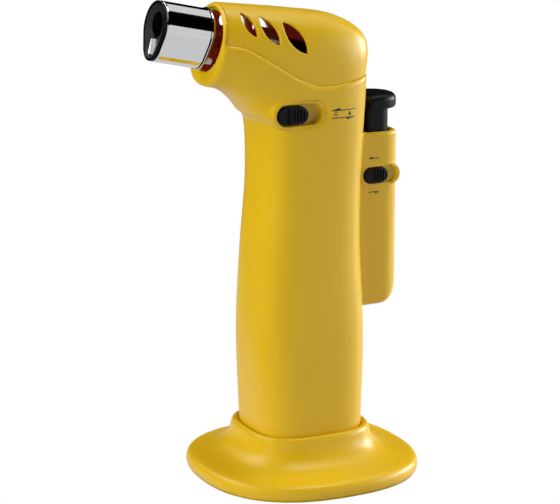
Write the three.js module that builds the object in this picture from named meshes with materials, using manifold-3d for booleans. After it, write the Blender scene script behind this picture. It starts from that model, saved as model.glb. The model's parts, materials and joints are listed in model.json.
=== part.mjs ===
// Butane hand torch with a push-in table stand, as an assembly of separate parts.
// Units are millimetres. +Z is up, the flame tube points toward -X, the ignition
// plunger is at +X, and the flame lock is on the -Y side. The origin is the middle
// of the stand's underside.
import * as THREE from 'three';
import { mergeVertices } from 'three/addons/utils/BufferGeometryUtils.js';
import Module from 'manifold-3d';

const wasm = await Module();
wasm.setup();

// ---------------------------------------------------------------- driving sizes

const GAP = 0.3; // clearance between neighbouring solids
const WALL = 2.2; // wall of the moulded handle
const AROUND = 24; // points around a handle section

// Handle sections: front and rear ends of the section (x, z), half-width in Y and
// the exponent of its rounded-rectangle (superellipse) outline.
const SECTIONS = [
  { front: [-22.6, 2.8], rear: [20.9, 2.8], half: 21.3, power: 3.0 },
  { front: [-23.9, 30], rear: [22.0, 30], half: 22.2, power: 3.0 },
  { front: [-24.7, 60], rear: [22.4, 60], half: 22.3, power: 3.0 },
  { front: [-23.2, 92], rear: [20.8, 92], half: 21.0, power: 3.0 },
  { front: [-20.9, 120], rear: [21.1, 120], half: 20.3, power: 3.0 },
  { front: [-21.6, 142], rear: [22.6, 142], half: 20.2, power: 3.0 },
  { front: [-25.4, 147.2], rear: [23.7, 158.5], half: 20.2, power: 3.0 },
  { front: [-28.4, 150.7], rear: [24.3, 174.2], half: 20.0, power: 2.9 },
  { front: [-31.2, 153.4], rear: [12.8, 183.0], half: 19.5, power: 2.8 },
  { front: [-34.6, 155.9], rear: [-5.1, 186.4], half: 18.6, power: 2.7 },
  { front: [-38.9, 157.8], rear: [-21.1, 188.5], half: 17.0, power: 2.5 },
  { front: [-44.3, 158.9], rear: [-37.5, 190.5], half: 15.0, power: 2.3 },
];
const LAST = SECTIONS.length - 1;
const CAVITY_END = LAST - 0.25; // the hollow stops short of the mouth ring
const LINER_START = 7.5; // sections between which the heat liner lies
const LINER_END = LAST - 0.3;

// Flame tube: the middle of its front face, and how far it tilts up.
const NOZZLE = new THREE.Vector3(-62.5, 0, 183.06);
const NOZZLE_TILT = THREE.MathUtils.degToRad(12.2);
const SLEEVE = { top: 9.7, bottom: 7.1, drop: 6.4, front: 1.2, rear: 20.7, wall: 0.6 };
const FLAME_HOLE = { radius: 4.65, rise: 0.5 };
const BURNER_RADIUS = 4.4;
const BURNER_REAR = 43;
const MIXER = { radius: 6.4, front: 43.3, rear: 53.6 };
const JET_BLOCK = { front: 56.5, rear: 76, top: 3.5, bottom: -12, half: 7 };
const MOUTH = { radius: 12.2, drop: -1.8, depth: 24.5 };

// Step line under the head cover, seen from the side (x, z), front to rear.
const LEDGE = [
  [-39.1, 175.8], [-31.1, 174.3], [-23.9, 170.2], [-16.3, 165.4],
  [-8.5, 160.8], [-2.5, 158.7], [4, 158.3], [12.6, 159.3], [28, 161.6],
];
const COVER_STEP = 1.3; // how far the cover's sides lie inside the handle's
const COVER_WALL_INSET = 3.3;

// Air vents: lens shapes in the side view, leaning back at their foot.
const VENTS = [
  { x: -28.7, z: 182.45, half: 5.0, width: 1.9, lean: -62.7 },
  { x: -20.85, z: 179.95, half: 6.15, width: 2.45, lean: -58.3 },
  { x: -10.8, z: 176.85, half: 7.45, width: 2.9, lean: -54 },
];

// Rear housing of the ignition plunger.
const HOUSING = { rear: 39.9, half: 10.5, corner: 8, bottom: 66, top: 136.6, foot: 10 };
const WELL = { front: 24.2, rear: 37.2, half: 8.9, corner: 5.4, bottom: 68.5, foot: 8 };
const WELL_TOP = 124;
const THROAT = { ...WELL, rear: 36.3, bottom: 110 }; // narrower top that guides the plunger
const PISTON_X = 31.7; // axis of the return spring and the igniter
const SPRING = { bottom: 107.3, top: 120.7, radius: 4.4, wire: 0.9, turns: 5 };

// Flame lock on the -Y side, and the safety slider on the housing.
const FLAME_LOCK = { x: -20, length: 12.8, height: 7.0, z: 147.8, travel: 6, face: -19.9 };
const LOCK_PAD = { left: -21.9, right: 1.3, height: 11, face: -19.2 };
const LOCK_RECESS_HEIGHT = 8.2;
const LOCK_DECK = { front: -16.5, rear: -15.5 }; // floor of the slider's recess
const LOCK_NECK = { x: -18.5, length: 4.5, half: 1.6, rear: -14.8 }; // runs through the deck
const LOCK_FLANGE = { left: -16, half: 5.1 }; // holds the slider behind the deck
const LOCK_ARM = { x: -9.6, length: 3.4, bottom: 144.2, top: 146.6, foot: 131.8 };
const SAFETY = { x: 22.0, length: 10.6, height: 6.2, z: 119.5, travel: 3.5, face: -11.4, floor: -9.7 };
const SAFETY_PAD = { left: 20.2, right: 38.4, height: 8.6, face: -10.8 };

// Stand: rim half-sizes, and its outline as (offset from the handle section, z).
const STAND = { halfX: 45.2, halfY: 44.0, power: 2.42, fit: 0.35, rimOffset: 22.9 };
const STAND_UNDER = [
  [2.2, 0], [2.2, 9], [3.2, 11.8], [5.6, 9.6], [9, 7], [13.4, 5.3], [19, 3.9], [20.4, 0],
];
const STAND_TOP = [
  [21.9, 0], [22.7, 1.0], [22.9, 2.8], [22.6, 4.6], [21.4, 6.0], [18, 6.8], [13, 7.8], [8.5, 9.5],
  [5, 12.5], [3.5, 16], [3.2, 18.2], [2.7, 19.4], [1.8, 19.9], [0.9, 19.7], [0.35, 18.9], [0.35, 2.5],
];

// Fuel side.
const TANK = { inset: 2.75, wall: 1.6, bottom: 6, top: 104 };
const VALVE_X = 3;
const LEVER_PIVOT = { x: 8, z: 123 };
const SCREW_BOSS = 3.5;
const SCREW_POCKET = 2.7;
const SCREWS = [
  { name: 'housing_lower', x: 30, z: 71.5, seat: 7.8 },
  { name: 'housing_upper', x: 21.9, z: 96, seat: 7.8 },
  { name: 'neck_front', x: -15, z: 118, seat: 13 },
  { name: 'neck_rear', x: 14, z: 150, seat: 13 },
  { name: 'head_front', x: -25.5, z: 155, seat: 11 },
];

// -------------------------------------------------------------------- materials

const finish = (color, roughness, metalness) =>
  () => new THREE.MeshStandardMaterial({ color, roughness, metalness });
const YELLOW = finish(0xe3b41f, 0.38, 0);
const BLACK = finish(0x15171a, 0.4, 0);
const CHROME = finish(0xd5d8da, 0.08, 1);
const STEEL = finish(0xb4b6b8, 0.3, 1);
const BRASS = finish(0xc49a45, 0.28, 1);
const LINER_RED = finish(0x7a2414, 0.55, 0);
const CERAMIC = finish(0xf2f0ea, 0.35, 0);
const TANK_PLASTIC = finish(0xd9d6cc, 0.3, 0);
const RUBBER = finish(0x26272a, 0.7, 0);

// ------------------------------------------------------------- solids and booleans

/** A closed three.js geometry as a solid for joining and cutting. */
function solid(geometry) {
  const bare = geometry.clone();
  bare.deleteAttribute('normal');
  bare.deleteAttribute('uv');
  const merged = mergeVertices(bare, 1e-4);
  return new wasm.Manifold(new wasm.Mesh({
    numProp: 3,
    vertProperties: new Float32Array(merged.attributes.position.array),
    triVerts: new Uint32Array(merged.index.array),
  }));
}

/** A solid as a three.js geometry. */
function geometryOf(body) {
  const { vertProperties, triVerts } = body.getMesh();
  const geometry = new THREE.BufferGeometry();
  geometry.setAttribute('position', new THREE.BufferAttribute(vertProperties, 3));
  geometry.setIndex(new THREE.BufferAttribute(triVerts, 1));
  geometry.computeVertexNormals();
  return geometry;
}

const join = (...bodies) => bodies.reduce((all, body) => all.add(body));
const cut = (body, ...tools) => tools.reduce((left, tool) => left.subtract(tool), body);

/** Adds a named part to a group. */
function addPart(group, name, shape, material) {
  const geometry = shape instanceof THREE.BufferGeometry ? shape : geometryOf(shape);
  const mesh = new THREE.Mesh(geometry, material());
  mesh.name = name;
  group.add(mesh);
  return mesh;
}

/** A box given by its lowest and highest corners. */
function block(x0, y0, z0, x1, y1, z1) {
  const geometry = new THREE.BoxGeometry(x1 - x0, y1 - y0, z1 - z0);
  return solid(geometry.translate((x0 + x1) / 2, (y0 + y1) / 2, (z0 + z1) / 2));
}

/** A cylinder along Y between y0 and y1. */
function crossPin(x, z, radius, y0, y1, sides = 14) {
  const geometry = new THREE.CylinderGeometry(radius, radius, y1 - y0, sides);
  return solid(geometry.translate(x, (y0 + y1) / 2, z));
}

/** A turned part about a vertical axis at (x, y); the profile is (radius, z). */
function turned(profile, x = 0, y = 0, sides = 14) {
  const points = profile.map(([r, z]) => new THREE.Vector2(r, z));
  const geometry = new THREE.LatheGeometry(points, sides).rotateX(Math.PI / 2);
  return solid(geometry.translate(x, y, 0));
}

/** A straight-edged outline through points. */
function polygon(points) {
  const shape = new THREE.Shape(points.map(([x, y]) => new THREE.Vector2(x, y)));
  shape.closePath();
  return shape;
}

/** A side-view shape (x, z) extruded from y0 to y1. */
function sidePrism(shape, y0, y1, curveSegments = 6) {
  const options = { depth: y1 - y0, bevelEnabled: false, curveSegments };
  return solid(new THREE.ExtrudeGeometry(shape, options).rotateX(Math.PI / 2).translate(0, y1, 0));
}

/** A plan-view shape (x, y) extruded from z0 to z1. */
function planPrism(shape, z0, z1, curveSegments = 5) {
  const options = { depth: z1 - z0, bevelEnabled: false, curveSegments };
  return solid(new THREE.ExtrudeGeometry(shape, options).translate(0, 0, z0));
}

/** A straight-sided outline with round ends, between left and right. */
function stadium(left, right, middle, height) {
  const r = height / 2;
  const shape = new THREE.Shape();
  shape.absarc(right - r, middle, r, -Math.PI / 2, Math.PI / 2, false);
  shape.absarc(left + r, middle, r, Math.PI / 2, (3 * Math.PI) / 2, false);
  shape.closePath();
  return shape;
}

/** A closed body through rings of points, with flat fans at its two ends. */
function loft(rings) {
  const around = rings[0].length;
  const points = rings.flat();
  const index = [];
  for (let i = 0; i + 1 < rings.length; i++) {
    for (let j = 0; j < around; j++) {
      const a = i * around + j;
      const b = i * around + ((j + 1) % around);
      index.push(a, b, b + around, a, b + around, a + around);
    }
  }
  const first = middleOf(rings[0]);
  const last = middleOf(rings.at(-1));
  points.push(first, last);
  const top = (rings.length - 1) * around;
  for (let j = 0; j < around; j++) {
    const k = (j + 1) % around;
    index.push(rings.length * around, k, j, rings.length * around + 1, top + j, top + k);
  }
  const geometry = new THREE.BufferGeometry().setFromPoints(points);
  geometry.setIndex(index);
  return solid(geometry);
}

const middleOf = (ring) =>
  ring.reduce((sum, p) => sum.add(p), new THREE.Vector3()).divideScalar(ring.length);

/** Distance from the middle of a superellipse to its edge, in the direction of an angle. */
function superRadius(angle, halfA, halfB, power) {
  const c = Math.abs(Math.cos(angle) / halfA);
  const s = Math.abs(Math.sin(angle) / halfB);
  return (c ** power + s ** power) ** (-1 / power);
}

// ---------------------------------------------------------------- handle sections

const spaced = (pick) => new THREE.CatmullRomCurve3(SECTIONS.map(pick), false, 'catmullrom', 0.5);
const frontLine = spaced(({ front }) => new THREE.Vector3(front[0], 0, front[1]));
const rearLine = spaced(({ rear }) => new THREE.Vector3(rear[0], 0, rear[1]));
const girthLine = spaced(({ half, power }) => new THREE.Vector3(half, power, 0));

/** A ring of points on a superellipse that lies along a direction and Y. */
function superRing(middle, along, halfA, halfB, power) {
  return Array.from({ length: AROUND }, (_, j) => {
    const turn = (j / AROUND) * 2 * Math.PI;
    const angle = Math.atan2(Math.sin(turn) * halfB, Math.cos(turn) * halfA);
    const r = superRadius(angle, halfA, halfB, power);
    const point = middle.clone().addScaledVector(along, r * Math.cos(angle));
    point.y = r * Math.sin(angle);
    return point;
  });
}

/** One ring of the handle at a section number, its outline moved inward by the inset. */
function handleRing(at, inset = 0, sideInset = inset) {
  const front = frontLine.getPoint(at / LAST);
  const rear = rearLine.getPoint(at / LAST);
  const girth = girthLine.getPoint(at / LAST);
  const middle = front.clone().add(rear).multiplyScalar(0.5);
  const along = rear.clone().sub(front);
  const halfA = along.length() / 2 - inset;
  const halfB = girth.x - sideInset;
  return superRing(middle, along.normalize(), halfA, halfB, girth.y);
}

/** Section numbers from one to another; bodies share the ones between, so walls stay parallel. */
function stations(from, to) {
  const shared = [1, 2, 3];
  for (let at = 4; at < LAST; at += at < 5 ? 1 : 0.5) shared.push(at);
  return [from, ...shared.filter((at) => at > from + 0.1 && at < to - 0.1), to];
}

/** The handle's body between two section numbers, inset all round. */
const handleBody = (from, to, inset, sideInset) =>
  loft(stations(from, to).map((at) => handleRing(at, inset, sideInset)));

/** The outside of the handle and head, with the rounded edge of the mouth. */
function handleOutside() {
  const rings = stations(0, LAST - 0.14).map((at) => handleRing(at));
  rings.push(handleRing(LAST - 0.05, 0.45), handleRing(LAST, 1.5));
  return loft(rings);
}

// --------------------------------------------------------------- flame tube frame

const rearward = new THREE.Vector3(Math.cos(NOZZLE_TILT), 0, -Math.sin(NOZZLE_TILT));
const upward = new THREE.Vector3(Math.sin(NOZZLE_TILT), 0, Math.cos(NOZZLE_TILT));
const nozzleFrame = new THREE.Matrix4()
  .makeBasis(new THREE.Vector3(0, 1, 0), upward, rearward)
  .setPosition(NOZZLE);

/** A point on the flame tube's middle plane: depth behind its face, and height. */
const nozzlePoint = (depth, height) =>
  NOZZLE.clone().addScaledVector(rearward, depth).addScaledVector(upward, height);

/** A shape (y, height) extruded along the flame tube between two depths. */
function tubePrism(shape, from, to, curveSegments = 6) {
  const options = { depth: to - from, bevelEnabled: false, curveSegments };
  return solid(new THREE.ExtrudeGeometry(shape, options).translate(0, 0, from));
}

/** A round disc or rod along the flame tube. */
function tubeRod(radius, from, to, height = 0, sides = 16, y = 0) {
  const geometry = new THREE.CylinderGeometry(radius, radius, to - from, sides);
  return solid(geometry.rotateX(Math.PI / 2).translate(y, height, (from + to) / 2));
}

/** Outline of the flame sleeve, moved inward by the inset. */
function teardrop(inset) {
  const top = SLEEVE.top - inset;
  const bottom = SLEEVE.bottom - inset;
  const lean = Math.asin((top - bottom) / SLEEVE.drop);
  const shape = new THREE.Shape();
  shape.absarc(0, 0, top, -lean, Math.PI + lean, false);
  shape.absarc(0, -SLEEVE.drop, bottom, Math.PI + lean, 2 * Math.PI - lean, false);
  shape.closePath();
  return shape;
}

// ------------------------------------------------------------------- handle parts

/** Side-view zone of the head cover: above the ledge and behind the mouth ring. */
function coverZone(gap, skirt = 0) {
  const frontDepth = MOUTH.depth + gap;
  const ledge = new THREE.CatmullRomCurve3(LEDGE.map(([x, z]) => new THREE.Vector3(x, z + gap - skirt, 0)));
  const shape = new THREE.Shape();
  const start = nozzlePoint(frontDepth, LEDGE[0][1] - nozzlePoint(frontDepth, 0).z + gap - skirt);
  shape.moveTo(start.x, start.z);
  ledge.getPoints(10).filter((p) => p.x > start.x + 1).forEach((p) => shape.lineTo(p.x, p.y));
  shape.lineTo(60, 170);
  shape.lineTo(60, 230);
  const top = nozzlePoint(frontDepth, 45);
  shape.lineTo(top.x, top.z);
  shape.closePath();
  return sidePrism(shape, -30, 30);
}

/** The three lens-shaped vents, cut straight through from side to side. */
function ventCutters() {
  return VENTS.map(({ x, z, half, width, lean }) => {
    const radius = (half ** 2 + width ** 2) / (2 * width);
    const sweep = Math.asin(half / radius);
    const rise = radius - width;
    const shape = new THREE.Shape();
    shape.absarc(0, -rise, radius, Math.PI / 2 - sweep, Math.PI / 2 + sweep, false);
    shape.absarc(0, rise, radius, -Math.PI / 2 - sweep, -Math.PI / 2 + sweep, false);
    shape.closePath();
    const geometry = new THREE.ExtrudeGeometry(shape, { depth: 60, bevelEnabled: false, curveSegments: 3 });
    geometry.rotateZ(THREE.MathUtils.degToRad(lean)).rotateX(Math.PI / 2).translate(x, 30, z);
    return solid(geometry);
  });
}

/** Plan outline of the housing or its well: round corners at the rear. */
function housingPlan(front, rear, half, corner) {
  const shape = new THREE.Shape();
  shape.moveTo(front, half);
  shape.lineTo(front, -half);
  shape.absarc(rear - corner, corner - half, corner, -Math.PI / 2, 0, false);
  shape.absarc(rear - corner, half - corner, corner, 0, Math.PI / 2, false);
  shape.closePath();
  return shape;
}

/** Side outline with a round lower rear corner. */
function housingSide(front, rear, bottom, top, foot) {
  const shape = new THREE.Shape();
  shape.moveTo(front, top);
  shape.lineTo(front, bottom);
  shape.absarc(rear - foot, bottom + foot, foot, -Math.PI / 2, 0, false);
  shape.lineTo(rear, top);
  shape.closePath();
  return shape;
}

function housingBody(front, { rear, half, corner, bottom, foot }, top) {
  const plan = planPrism(housingPlan(front, rear, half, corner), bottom, top);
  return plan.intersect(sidePrism(housingSide(front, rear, bottom, top, foot), -half - 1, half + 1));
}

/** The flat pad around the flame lock. */
function lockPad() {
  const { left, right, height, face } = LOCK_PAD;
  return sidePrism(stadium(left, right, FLAME_LOCK.z, height), face, -10);
}

/** Floor of the lock's recess, which the slider's cap runs over. */
function lockDeck() {
  const { left, right, height } = LOCK_PAD;
  return sidePrism(stadium(left, right, FLAME_LOCK.z, height), -18.8, LOCK_DECK.rear);
}

/** The dished pad, the recess, the flange's pocket and the slot between them. */
function lockCutters() {
  const { x, length, z, travel } = FLAME_LOCK;
  const { left, right, face } = LOCK_PAD;
  const end = x + length + travel + GAP;
  const slotEnd = LOCK_NECK.x + LOCK_NECK.length + travel + GAP;
  const slotHalf = LOCK_NECK.half + GAP;
  const pocketHalf = LOCK_FLANGE.half + GAP;
  return [
    sidePrism(stadium(left + 0.7, right, z, LOCK_PAD.height - 0.6), -26, face),
    sidePrism(stadium(x - GAP, end, z, LOCK_RECESS_HEIGHT), -24, LOCK_DECK.front),
    block(LOCK_FLANGE.left - GAP, LOCK_DECK.rear, z - pocketHalf, end, -10, z + pocketHalf),
    block(LOCK_NECK.x - GAP, -18, z - slotHalf, slotEnd, LOCK_NECK.rear + GAP, z + slotHalf),
  ];
}

function safetyPad() {
  const { left, right, height, face } = SAFETY_PAD;
  return sidePrism(stadium(left, right, SAFETY.z, height), face, -4);
}

function safetyCutters() {
  const { x, length, height, z, travel, floor } = SAFETY;
  return [
    sidePrism(stadium(x - GAP, x + length + travel + GAP, z, height + 2 * GAP), -14, floor),
    block(x + 1.7, -11, z - 1.5, x + 11, -8, z + 1.5),
  ];
}

const screwBosses = () => SCREWS.map(({ x, z }) => crossPin(x, z, SCREW_BOSS, -24, 24, 12));

function screwCutters() {
  return SCREWS.flatMap(({ x, z, seat }) => [
    crossPin(x, z, 1.35, -7, 24, 8),
    crossPin(x, z, SCREW_POCKET, seat, 26, 12),
  ]);
}

/** Both halves of the moulded handle, with the mouth ring and the housing. */
function handleHalves() {
  const outside = join(handleOutside(), housingBody(10, HOUSING, HOUSING.top), lockPad(), safetyPad());
  const inside = handleBody(0.1, CAVITY_END, WALL);
  const well = join(housingBody(WELL.front, WELL, WELL_TOP), housingBody(WELL.front, THROAT, 150));
  const walls = cut(outside, inside, well);
  const bosses = join(...screwBosses()).intersect(outside);
  const whole = join(walls, bosses, lockDeck().intersect(outside));
  const mouth = tubeRod(MOUTH.radius, 10, 32, MOUTH.drop, 20).transform(nozzleFrame.elements);
  const cuts = [
    coverZone(0),
    mouth,
    block(17, -WELL.half, TANK.top, WELL.front + 1, WELL.half, 134),
    turned([[0, 0], [5, 0], [5, 8], [0, 8]]),
    ...lockCutters(),
    ...safetyCutters(),
    ...screwCutters(),
  ];
  const hollow = cut(whole, ...cuts);
  return {
    left: hollow.intersect(block(-90, -60, -5, 90, -GAP / 2, 220)),
    right: hollow.intersect(block(-90, GAP / 2, -5, 90, 60, 220)),
  };
}

/** Vented cover on top of the head, with a skirt inside the handle's edge. */
function headCover() {
  const outer = handleBody(5, LAST, 0, COVER_STEP);
  const inner = handleBody(4.5, LAST + 0.0001, COVER_WALL_INSET);
  const panel = cut(outer, inner).intersect(coverZone(GAP));
  const skirtOuter = handleBody(5, LAST, WALL + GAP);
  const skirt = cut(skirtOuter, inner).intersect(coverZone(GAP, 2.2)).intersect(coverSkirtRange());
  return cut(join(panel, skirt), ...ventCutters());
}

/** The skirt runs along the ledge only, clear of the mouth and the screw bosses. */
const coverSkirtRange = () => block(-34, -30, 150, 9, 30, 200);

/** Heat liner inside the head, open at the front, at the rear and below. */
function heatLiner() {
  const outer = handleBody(LINER_START, LINER_END, 3.65);
  const inner = handleBody(LINER_START - 0.5, LINER_END + 0.2, 4.45);
  const below = polygon([[-30, 140], [40, 140], [40, 166], [-24, 163.5]]);
  const boss = SCREWS.at(-1);
  const openings = [sidePrism(below, -30, 30), crossPin(boss.x, boss.z, SCREW_BOSS + GAP, -30, 30)];
  return cut(outer, inner, ...openings, ...ventCutters());
}

// -------------------------------------------------------------------- flame parts

function flameSleeve() {
  const tube = tubePrism(teardrop(0), SLEEVE.front, SLEEVE.rear);
  const bead = tubePrism(teardrop(-0.5), SLEEVE.rear - 0.9, SLEEVE.rear);
  const hole = tubePrism(teardrop(SLEEVE.wall), SLEEVE.front - 1, SLEEVE.rear + 1);
  return cut(join(tube, bead), hole);
}

/** Keyhole slot below the flame hole. */
function keyhole(widen = 0) {
  const shape = new THREE.Shape();
  shape.moveTo(-0.5 - widen, -3.5);
  shape.lineTo(-1.2 - widen, -10);
  shape.absarc(0, -10, 1.2 + widen, Math.PI, 2 * Math.PI, false);
  shape.lineTo(0.5 + widen, -3.5);
  shape.closePath();
  return shape;
}

function mouthInsert() {
  const options = {
    depth: 0.3, bevelEnabled: true, bevelThickness: 0.3, bevelSize: 0.5, bevelOffset: -0.5,
    bevelSegments: 1, curveSegments: 6,
  };
  const rim = solid(new THREE.ExtrudeGeometry(teardrop(0), options).translate(0, 0, 0.3));
  const plug = tubePrism(teardrop(SLEEVE.wall + GAP), 0.8, 6);
  const hole = tubeRod(FLAME_HOLE.radius, -2, 8, FLAME_HOLE.rise);
  return cut(join(rim, plug), hole, tubePrism(keyhole(0.4), -2, 8, 6));
}

/** Ceramic drop in the keyhole, continued rearward as a rod. */
function igniterInsulator() {
  const shape = keyhole(0);
  const front = tubePrism(shape, 0.6, 6, 6);
  const rod = tubeRod(1.2, 5, 26, -10, 12);
  return cut(join(front, rod), tubeRod(0.6, 15, 30, -10, 8));
}

/** Bent spark wire between the insulator and the flame holder. */
function sparkElectrode() {
  const route = new THREE.CatmullRomCurve3([
    new THREE.Vector3(0, -7.4, 7), new THREE.Vector3(0, -6.6, 8.5),
    new THREE.Vector3(0, -6.2, 11), new THREE.Vector3(0, -6.2, 14),
  ]);
  return alongRoute(route, 0.35, 6, 8);
}

function burnerTube() {
  const tube = tubeRod(BURNER_RADIUS, 6.4, BURNER_REAR);
  return cut(tube, tubeRod(BURNER_RADIUS - 0.6, 5, BURNER_REAR + 1));
}

/** Perforated disc in the burner tube. */
function flameHolder() {
  const disc = tubeRod(BURNER_RADIUS - 0.9, 11, 13);
  const holes = [tubeRod(0.8, 10, 14, 0, 10)];
  for (let i = 0; i < 6; i++) {
    const angle = (i * Math.PI) / 3;
    holes.push(tubeRod(0.55, 10, 14, 2.25 * Math.sin(angle), 8, 2.25 * Math.cos(angle)));
  }
  return cut(disc, ...holes);
}

/** Mixing chamber with four air holes. */
function mixingChamber() {
  const { radius, front, rear } = MIXER;
  const shell = cut(tubeRod(radius, front, rear), tubeRod(radius - 0.8, front + 1.5, rear + 1));
  const middle = (front + rear) / 2 + 1;
  const airHole = () => new THREE.CylinderGeometry(1.5, 1.5, 30, 8);
  return cut(
    shell,
    tubeRod(BURNER_RADIUS - 1.2, front - 1, front + 3),
    solid(airHole().translate(0, 0, middle)),
    solid(airHole().rotateZ(Math.PI / 2).translate(0, 0, middle)),
  );
}

/** Strap that centres the rear of the sleeve round the burner tube. */
function sleeveBracket() {
  const plate = tubePrism(teardrop(1.4), SLEEVE.rear + GAP, SLEEVE.rear + 1.3);
  return cut(
    plate,
    tubeRod(BURNER_RADIUS + GAP, 15, 30),
    tubeRod(1.2 + GAP, 15, 30, -10, 12),
    tubeRod(1.6, 15, 30, 7, 10, -3.2),
    tubeRod(1.6, 15, 30, 7, 10, 3.2),
  );
}

function jetBlock() {
  const { front, rear, top, bottom, half } = JET_BLOCK;
  const shape = polygon([
    [-half, bottom + 2], [-half + 2, bottom], [half - 2, bottom],
    [half, bottom + 2], [half, top], [-half, top],
  ]);
  const body = tubePrism(shape, front, rear);
  const inlet = new THREE.CylinderGeometry(1.3, 1.3, 8, 12).translate(0, bottom + 2, 68);
  return cut(body, tubeRod(1.5, front - 1, front + 6, 0, 12), solid(inlet));
}

function gasJet() {
  const profile = [
    [0, 50], [0.8, 50.2], [1.6, 52], [1.6, 53.4], [3, 53.6], [3, 56.2], [1.2, 56.2], [1.2, 61], [0, 61],
  ];
  const points = profile.map(([r, d]) => new THREE.Vector2(r, d));
  return solid(new THREE.LatheGeometry(points, 16).rotateX(Math.PI / 2));
}

// ---------------------------------------------------------------------- fuel parts

/** A round tube or wire that follows a curve. */
function alongRoute(route, radius, sides, steps) {
  const section = new THREE.Shape();
  section.absarc(0, 0, radius, 0, 2 * Math.PI, false);
  const options = { steps, curveSegments: sides / 2, extrudePath: route, bevelEnabled: false };
  return solid(new THREE.ExtrudeGeometry(section, options));
}

const routeOf = (points) => new THREE.CatmullRomCurve3(points.map((p) => new THREE.Vector3(...p)));

/** Fuel tank filling the handle, with a valve neck and a filling hole. */
function gasTank() {
  const { inset, wall, bottom, top } = TANK;
  const outer = handleBody(0, 5, inset).intersect(block(-40, -40, bottom, 40, 40, top));
  const inner = handleBody(0, 5, inset + wall)
    .intersect(block(-40, -40, bottom + wall, 40, 40, top - wall));
  return cut(
    outer,
    inner,
    turned([[0, 90], [3.9, 90], [3.9, 110], [0, 110]], VALVE_X),
    turned([[0, 4], [3.6, 4], [3.6, 9], [0, 9]]),
  );
}

function valveBody() {
  const profile = [
    [0, 97], [2.4, 97], [3.6, 98.5], [3.6, 106.2], [6, 106.2], [6, 108.6], [4.6, 108.6],
    [4.6, 119.4], [3.8, 120.2], [1.8, 120.2], [1.8, 110], [0, 110],
  ];
  const outlet = new THREE.CylinderGeometry(1.5, 1.5, 5, 12).rotateZ(Math.PI / 2);
  return join(turned(profile, VALVE_X), solid(outlet.translate(VALVE_X - 6.4, 0, 113)));
}

function valveStem() {
  const profile = [
    [0, 111.5], [1.4, 111.5], [1.4, 124.2], [2.8, 124.2], [2.8, 125.4], [1.4, 125.4],
    [1.4, 127], [0, 127],
  ];
  return turned(profile, VALVE_X, 0, 16);
}

function tankSeal() {
  return solid(new THREE.TorusGeometry(5, 0.75, 5, 14).translate(VALVE_X, 0, 105.1));
}

/** Rocker that the plunger presses down at the rear and that lifts the valve stem. */
function valveLever() {
  const { x, z } = LEVER_PIVOT;
  const side = polygon([
    [x - 6.2, z - 2.2], [x + 3, z - 2.2], [x + 14, z + 1.4], [x + 16.6, z + 2.4], [x + 17.3, z + 3.4],
    [x + 16.3, z + 4.7], [x + 15.3, z + 3.9], [x + 5, z + 1.4], [x - 6.2, z],
  ]);
  const pad = block(x - 5.6, -3.1, z - 1, x - 4.4, 3.1, z + 0.9);
  const fork = block(x - 8, -1.9, z - 5, x - 1.8, 1.9, z + 5);
  return cut(join(sidePrism(side, -3.1, 3.1), pad), fork, crossPin(x, z - 0.6, 1.0, -9, 9, 12));
}

/** Saddle that carries the lever's pin between its two cheeks. */
function leverBracket() {
  const { x, z } = LEVER_PIVOT;
  const cheeks = join(
    block(x - 2.2, -5, 109, x + 2.2, -3.4, z + 1.8),
    block(x - 2.2, 3.4, 109, x + 2.2, 5, z + 1.8),
    block(x - 2.2, -5, 108.9, x + 2.2, 5, 111),
  );
  return cut(
    cheeks,
    turned([[0, 100], [4.9, 100], [4.9, 130], [0, 130]], VALVE_X),
    crossPin(x, z - 0.6, 1.0, -9, 9, 12),
  );
}

const leverPin = () => crossPin(LEVER_PIVOT.x, LEVER_PIVOT.z - 0.6, 0.7, -5.6, 5.6, 12);

function fillValveBody() {
  const profile = [[1.5, 3.4], [4.6, 3.4], [4.6, 5.7], [3.3, 5.7], [3.3, 10], [1.5, 10], [1.5, 3.4]];
  return turned(profile, 0, 0, 20);
}

const fillValveStem = () => turned([[0, 3.6], [1.1, 3.6], [1.1, 8.2], [0, 8.2]], 0, 0, 12);

// ------------------------------------------------------------ ignition and sliders

/** Ignition plunger: cap, wide guide above the safety slider, and a narrow foot. */
function plunger() {
  const capOptions = {
    depth: 2.7, bevelEnabled: true, bevelThickness: 1.6, bevelSize: 1.6, bevelOffset: -1.6,
    bevelSegments: 2, curveSegments: 5,
  };
  const capShape = housingPlan(24.6, 40.2, 10.4, 9.8);
  const cap = solid(new THREE.ExtrudeGeometry(capShape, capOptions).translate(0, 0, 146.9));
  const guide = planPrism(housingPlan(24.8, 35.8, 8.3, 5.2), 131, 146.5);
  const foot = planPrism(housingPlan(27, 35.8, 6.2, 3), 121, 131.5);
  const tab = block(23.2, -2.6, 128, 27.5, 2.6, 131.5);
  const neck = block(24.8, -6.2, 128, 28, 6.2, 131.5);
  return join(cap, guide, foot, neck, tab);
}

function returnSpring() {
  const { bottom, top, radius, wire, turns } = SPRING;
  const steps = turns * 8;
  const points = Array.from({ length: steps + 1 }, (_, i) => {
    const angle = (i / 8) * 2 * Math.PI;
    const z = bottom + wire / 2 + ((top - bottom - wire) * i) / steps;
    return [PISTON_X + radius * Math.cos(angle), radius * Math.sin(angle), z];
  });
  return alongRoute(routeOf(points), wire / 2, 4, steps);
}

function piezoBody() {
  const shape = housingPlan(26.9, 36.5, 4.8, 1.2);
  const bore = block(PISTON_X - 2.9, -2.9, 91.5, PISTON_X + 2.9, 2.9, 108);
  return cut(planPrism(shape, 80, 107, 3), bore);
}

const piezoHammer = () => block(PISTON_X - 2.5, -2.5, 100, PISTON_X + 2.5, 2.5, 120.7);

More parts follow.
